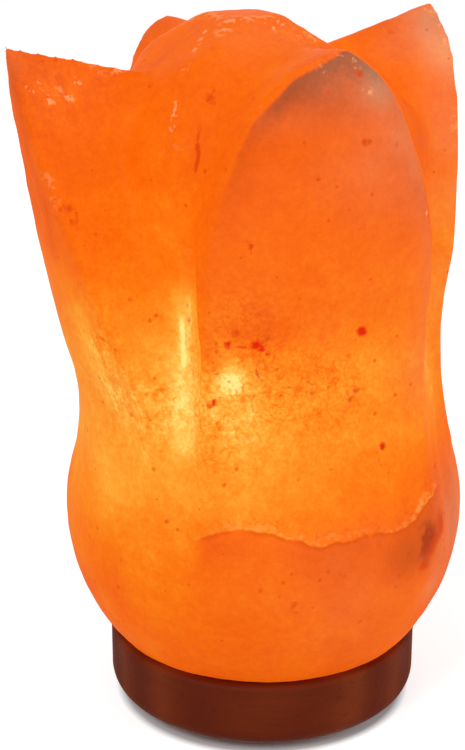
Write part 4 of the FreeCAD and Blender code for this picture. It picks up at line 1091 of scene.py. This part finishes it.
def make_base_screws(material):
    """Four wood screws with a cross recess."""
    screws = []
    for quarter in range(4):
        turn = radians(45 + 90 * quarter)
        centre = (SCREW_CIRCLE * sin(turn), -SCREW_CIRCLE * cos(turn))
        head = [(0, 5.6), (2.6, 5.6), (3.2, 6.0), (3.5, 6.7), (3.5, 8), (0, 8)]
        shank = [(0, 8), (1.75, 8), (1.75, 37), (0.3, 40), (0, 40)]
        head = lathe("screw_head", head, 32, centre=centre)
        tools = []
        for half_x, half_y in ((1.7, 0.42), (0.42, 1.7)):
            low = (centre[0] - half_x, centre[1] - half_y, 5)
            high = (centre[0] + half_x, centre[1] + half_y, 6.9)
            tools.append(block("recess", low, high))
        cut_out(head, tools)
        shank = lathe("screw_shank", stepped(shank, 0.3), 20,
                      helix(SCREW_PITCH, SCREW_THREAD_DEPTH, 14, 38), centre)
        screws += [head, shank]
    settle(join("wood_screws", screws), "base_screws", "base", material)


def make_terminal_screws(material):
    screws = []
    for x in (4, -4):
        head = [(0, 41.2), (1.7, 41.2), (2, 41.5), (2, 43), (0, 43)]
        shank = [(0, 43), (1.2, 43), (1.2, 47.7), (0.9, 48), (0, 48)]
        head = lathe("terminal_head", head, 28, centre=(x, 0))
        cut_out(head, [block("slot", (x - 2.5, -0.3, 40), (x + 2.5, 0.3, 42))])
        shank = lathe("terminal_shank", stepped(shank, 0.15), 18,
                      helix(TERMINAL_PITCH, TERMINAL_THREAD_DEPTH, 43.4, 47.8), (x, 0))
        screws += [head, shank]
    settle(join("slotted_screws", screws), "terminal_screws", "lamp_holder", material)


def make_contact_rivets(material):
    rivets = []
    for x in (5.6, -2.3):
        outline = [
            (0, 49), (0.5, 49), (0.6, 49.1), (0.6, 56.5), (1, 56.5), (0.95, 56.68), (0.7, 56.84),
            (0, 56.9),
        ]
        rivets.append(lathe("rivet", outline, 24, centre=(x, 0)))
    settle(join("domed_rivets", rivets), "contact_rivets", "lamp_holder", material)


def make_filament(material):
    """Coiled wire along the arch of its solid."""
    half, low, arch = 5.85, 105.05, 4.95
    bow = (half ** 2 + arch ** 2) / (2 * arch)
    part = np.linspace(-1, 1, COIL_TURNS * 12)
    lean = part * asin(half / bow)
    core = np.stack([bow * np.sin(lean), 0 * lean, low + arch - bow + bow * np.cos(lean)], axis=1)
    outward = np.stack([np.sin(lean), 0 * lean, np.cos(lean)], axis=1)
    twist = (part * pi * COIL_TURNS)[:, None]
    line = core + COIL_RADIUS * (np.cos(twist) * outward + np.sin(twist) * np.array([0, 1, 0]))
    coil = tube("coiled_filament", line, WIRE_RADIUS, 5)
    settle(coil, "filament", "bulb", material)


def make_holder_body(material):
    """Sleeve with grip ribs below and above the clip."""
    outline = [
        (9.6, 40), (13.5, 40), (13.5, 83), (13.2, 83.7), (12.5, 84), (8.4, 84), (8.4, 81), (9.6, 81),
        (9.6, 50), (8, 50), (8, 48), (9.6, 48),
    ]

    def ribs(angle, radius, height):
        gap = rise(np.cos(RIB_COUNT * angle), -0.2, 0.5)
        zone = rise(height, 42, 43) * (1 - rise(height, 59, 60))
        zone = zone + rise(height, 76, 77) * (1 - rise(height, 80, 81))
        return np.where(radius > 12.9, radius - RIB_DEPTH * gap * zone, radius)
    sleeve = lathe("ribbed_sleeve", stepped(outline, 0.6), 192, ribs)
    settle(sleeve, "holder_body", "lamp_holder", material)


def glass(name, colour, roughness):
    """Clear glass with faint dust."""
    made = Shader(name, Base_Color=(*colour, 1), Transmission_Weight=1, IOR=1.45, Roughness=roughness)
    dust = made.noise(0.0012, detail=3)
    made.put("Roughness", made.fit(dust, 0.5, 0.75, roughness, roughness + 0.18))
    made.bump(dust, 0.00002)
    return made.material


def glowing_wire():
    made = Shader("hot_tungsten", Emission_Strength=6, Metallic=1, Roughness=0.4)
    heat = made.noise(0.002)
    for socket, cool, hot in (("Base Color", (0.30, 0.20, 0.12), (0.45, 0.30, 0.18)),
                              ("Emission Color", (1.0, 0.42, 0.10), (1.0, 0.62, 0.25))):
        made.put(socket, made.blend(heat, cool, hot))
    made.bump(heat, 0.00002)
    return made.material


def finish_small_pieces():
    made = {name: finish(name, *values) for name, values in FINISHES.items()}
    dress("wood_base", turned_wood())
    for node, name in DRESSED.items():
        dress(node, made[name])
    dress("bulb_glass", glass("clear_glass", (1.0, 0.99, 0.97), 0.02))
    dress("bulb_stem", glass("stem_glass", (0.90, 0.95, 0.92), 0.08))
    make_holder_body(made["black_phenolic"])
    make_bulb_cap(made["bulb_brass"])
    make_screw_shell(made["brass"])
    make_base_screws(made["zinc_steel"])
    make_terminal_screws(made["brass"])
    make_contact_rivets(made["brass"])
    make_filament(glowing_wire())


make_world()
make_floor()
for name, (place, power) in LAMPS.items():
    make_light(name, place, power)
make_crystal()
finish_small_pieces()

SCENE.view_settings.view_transform = "Standard"
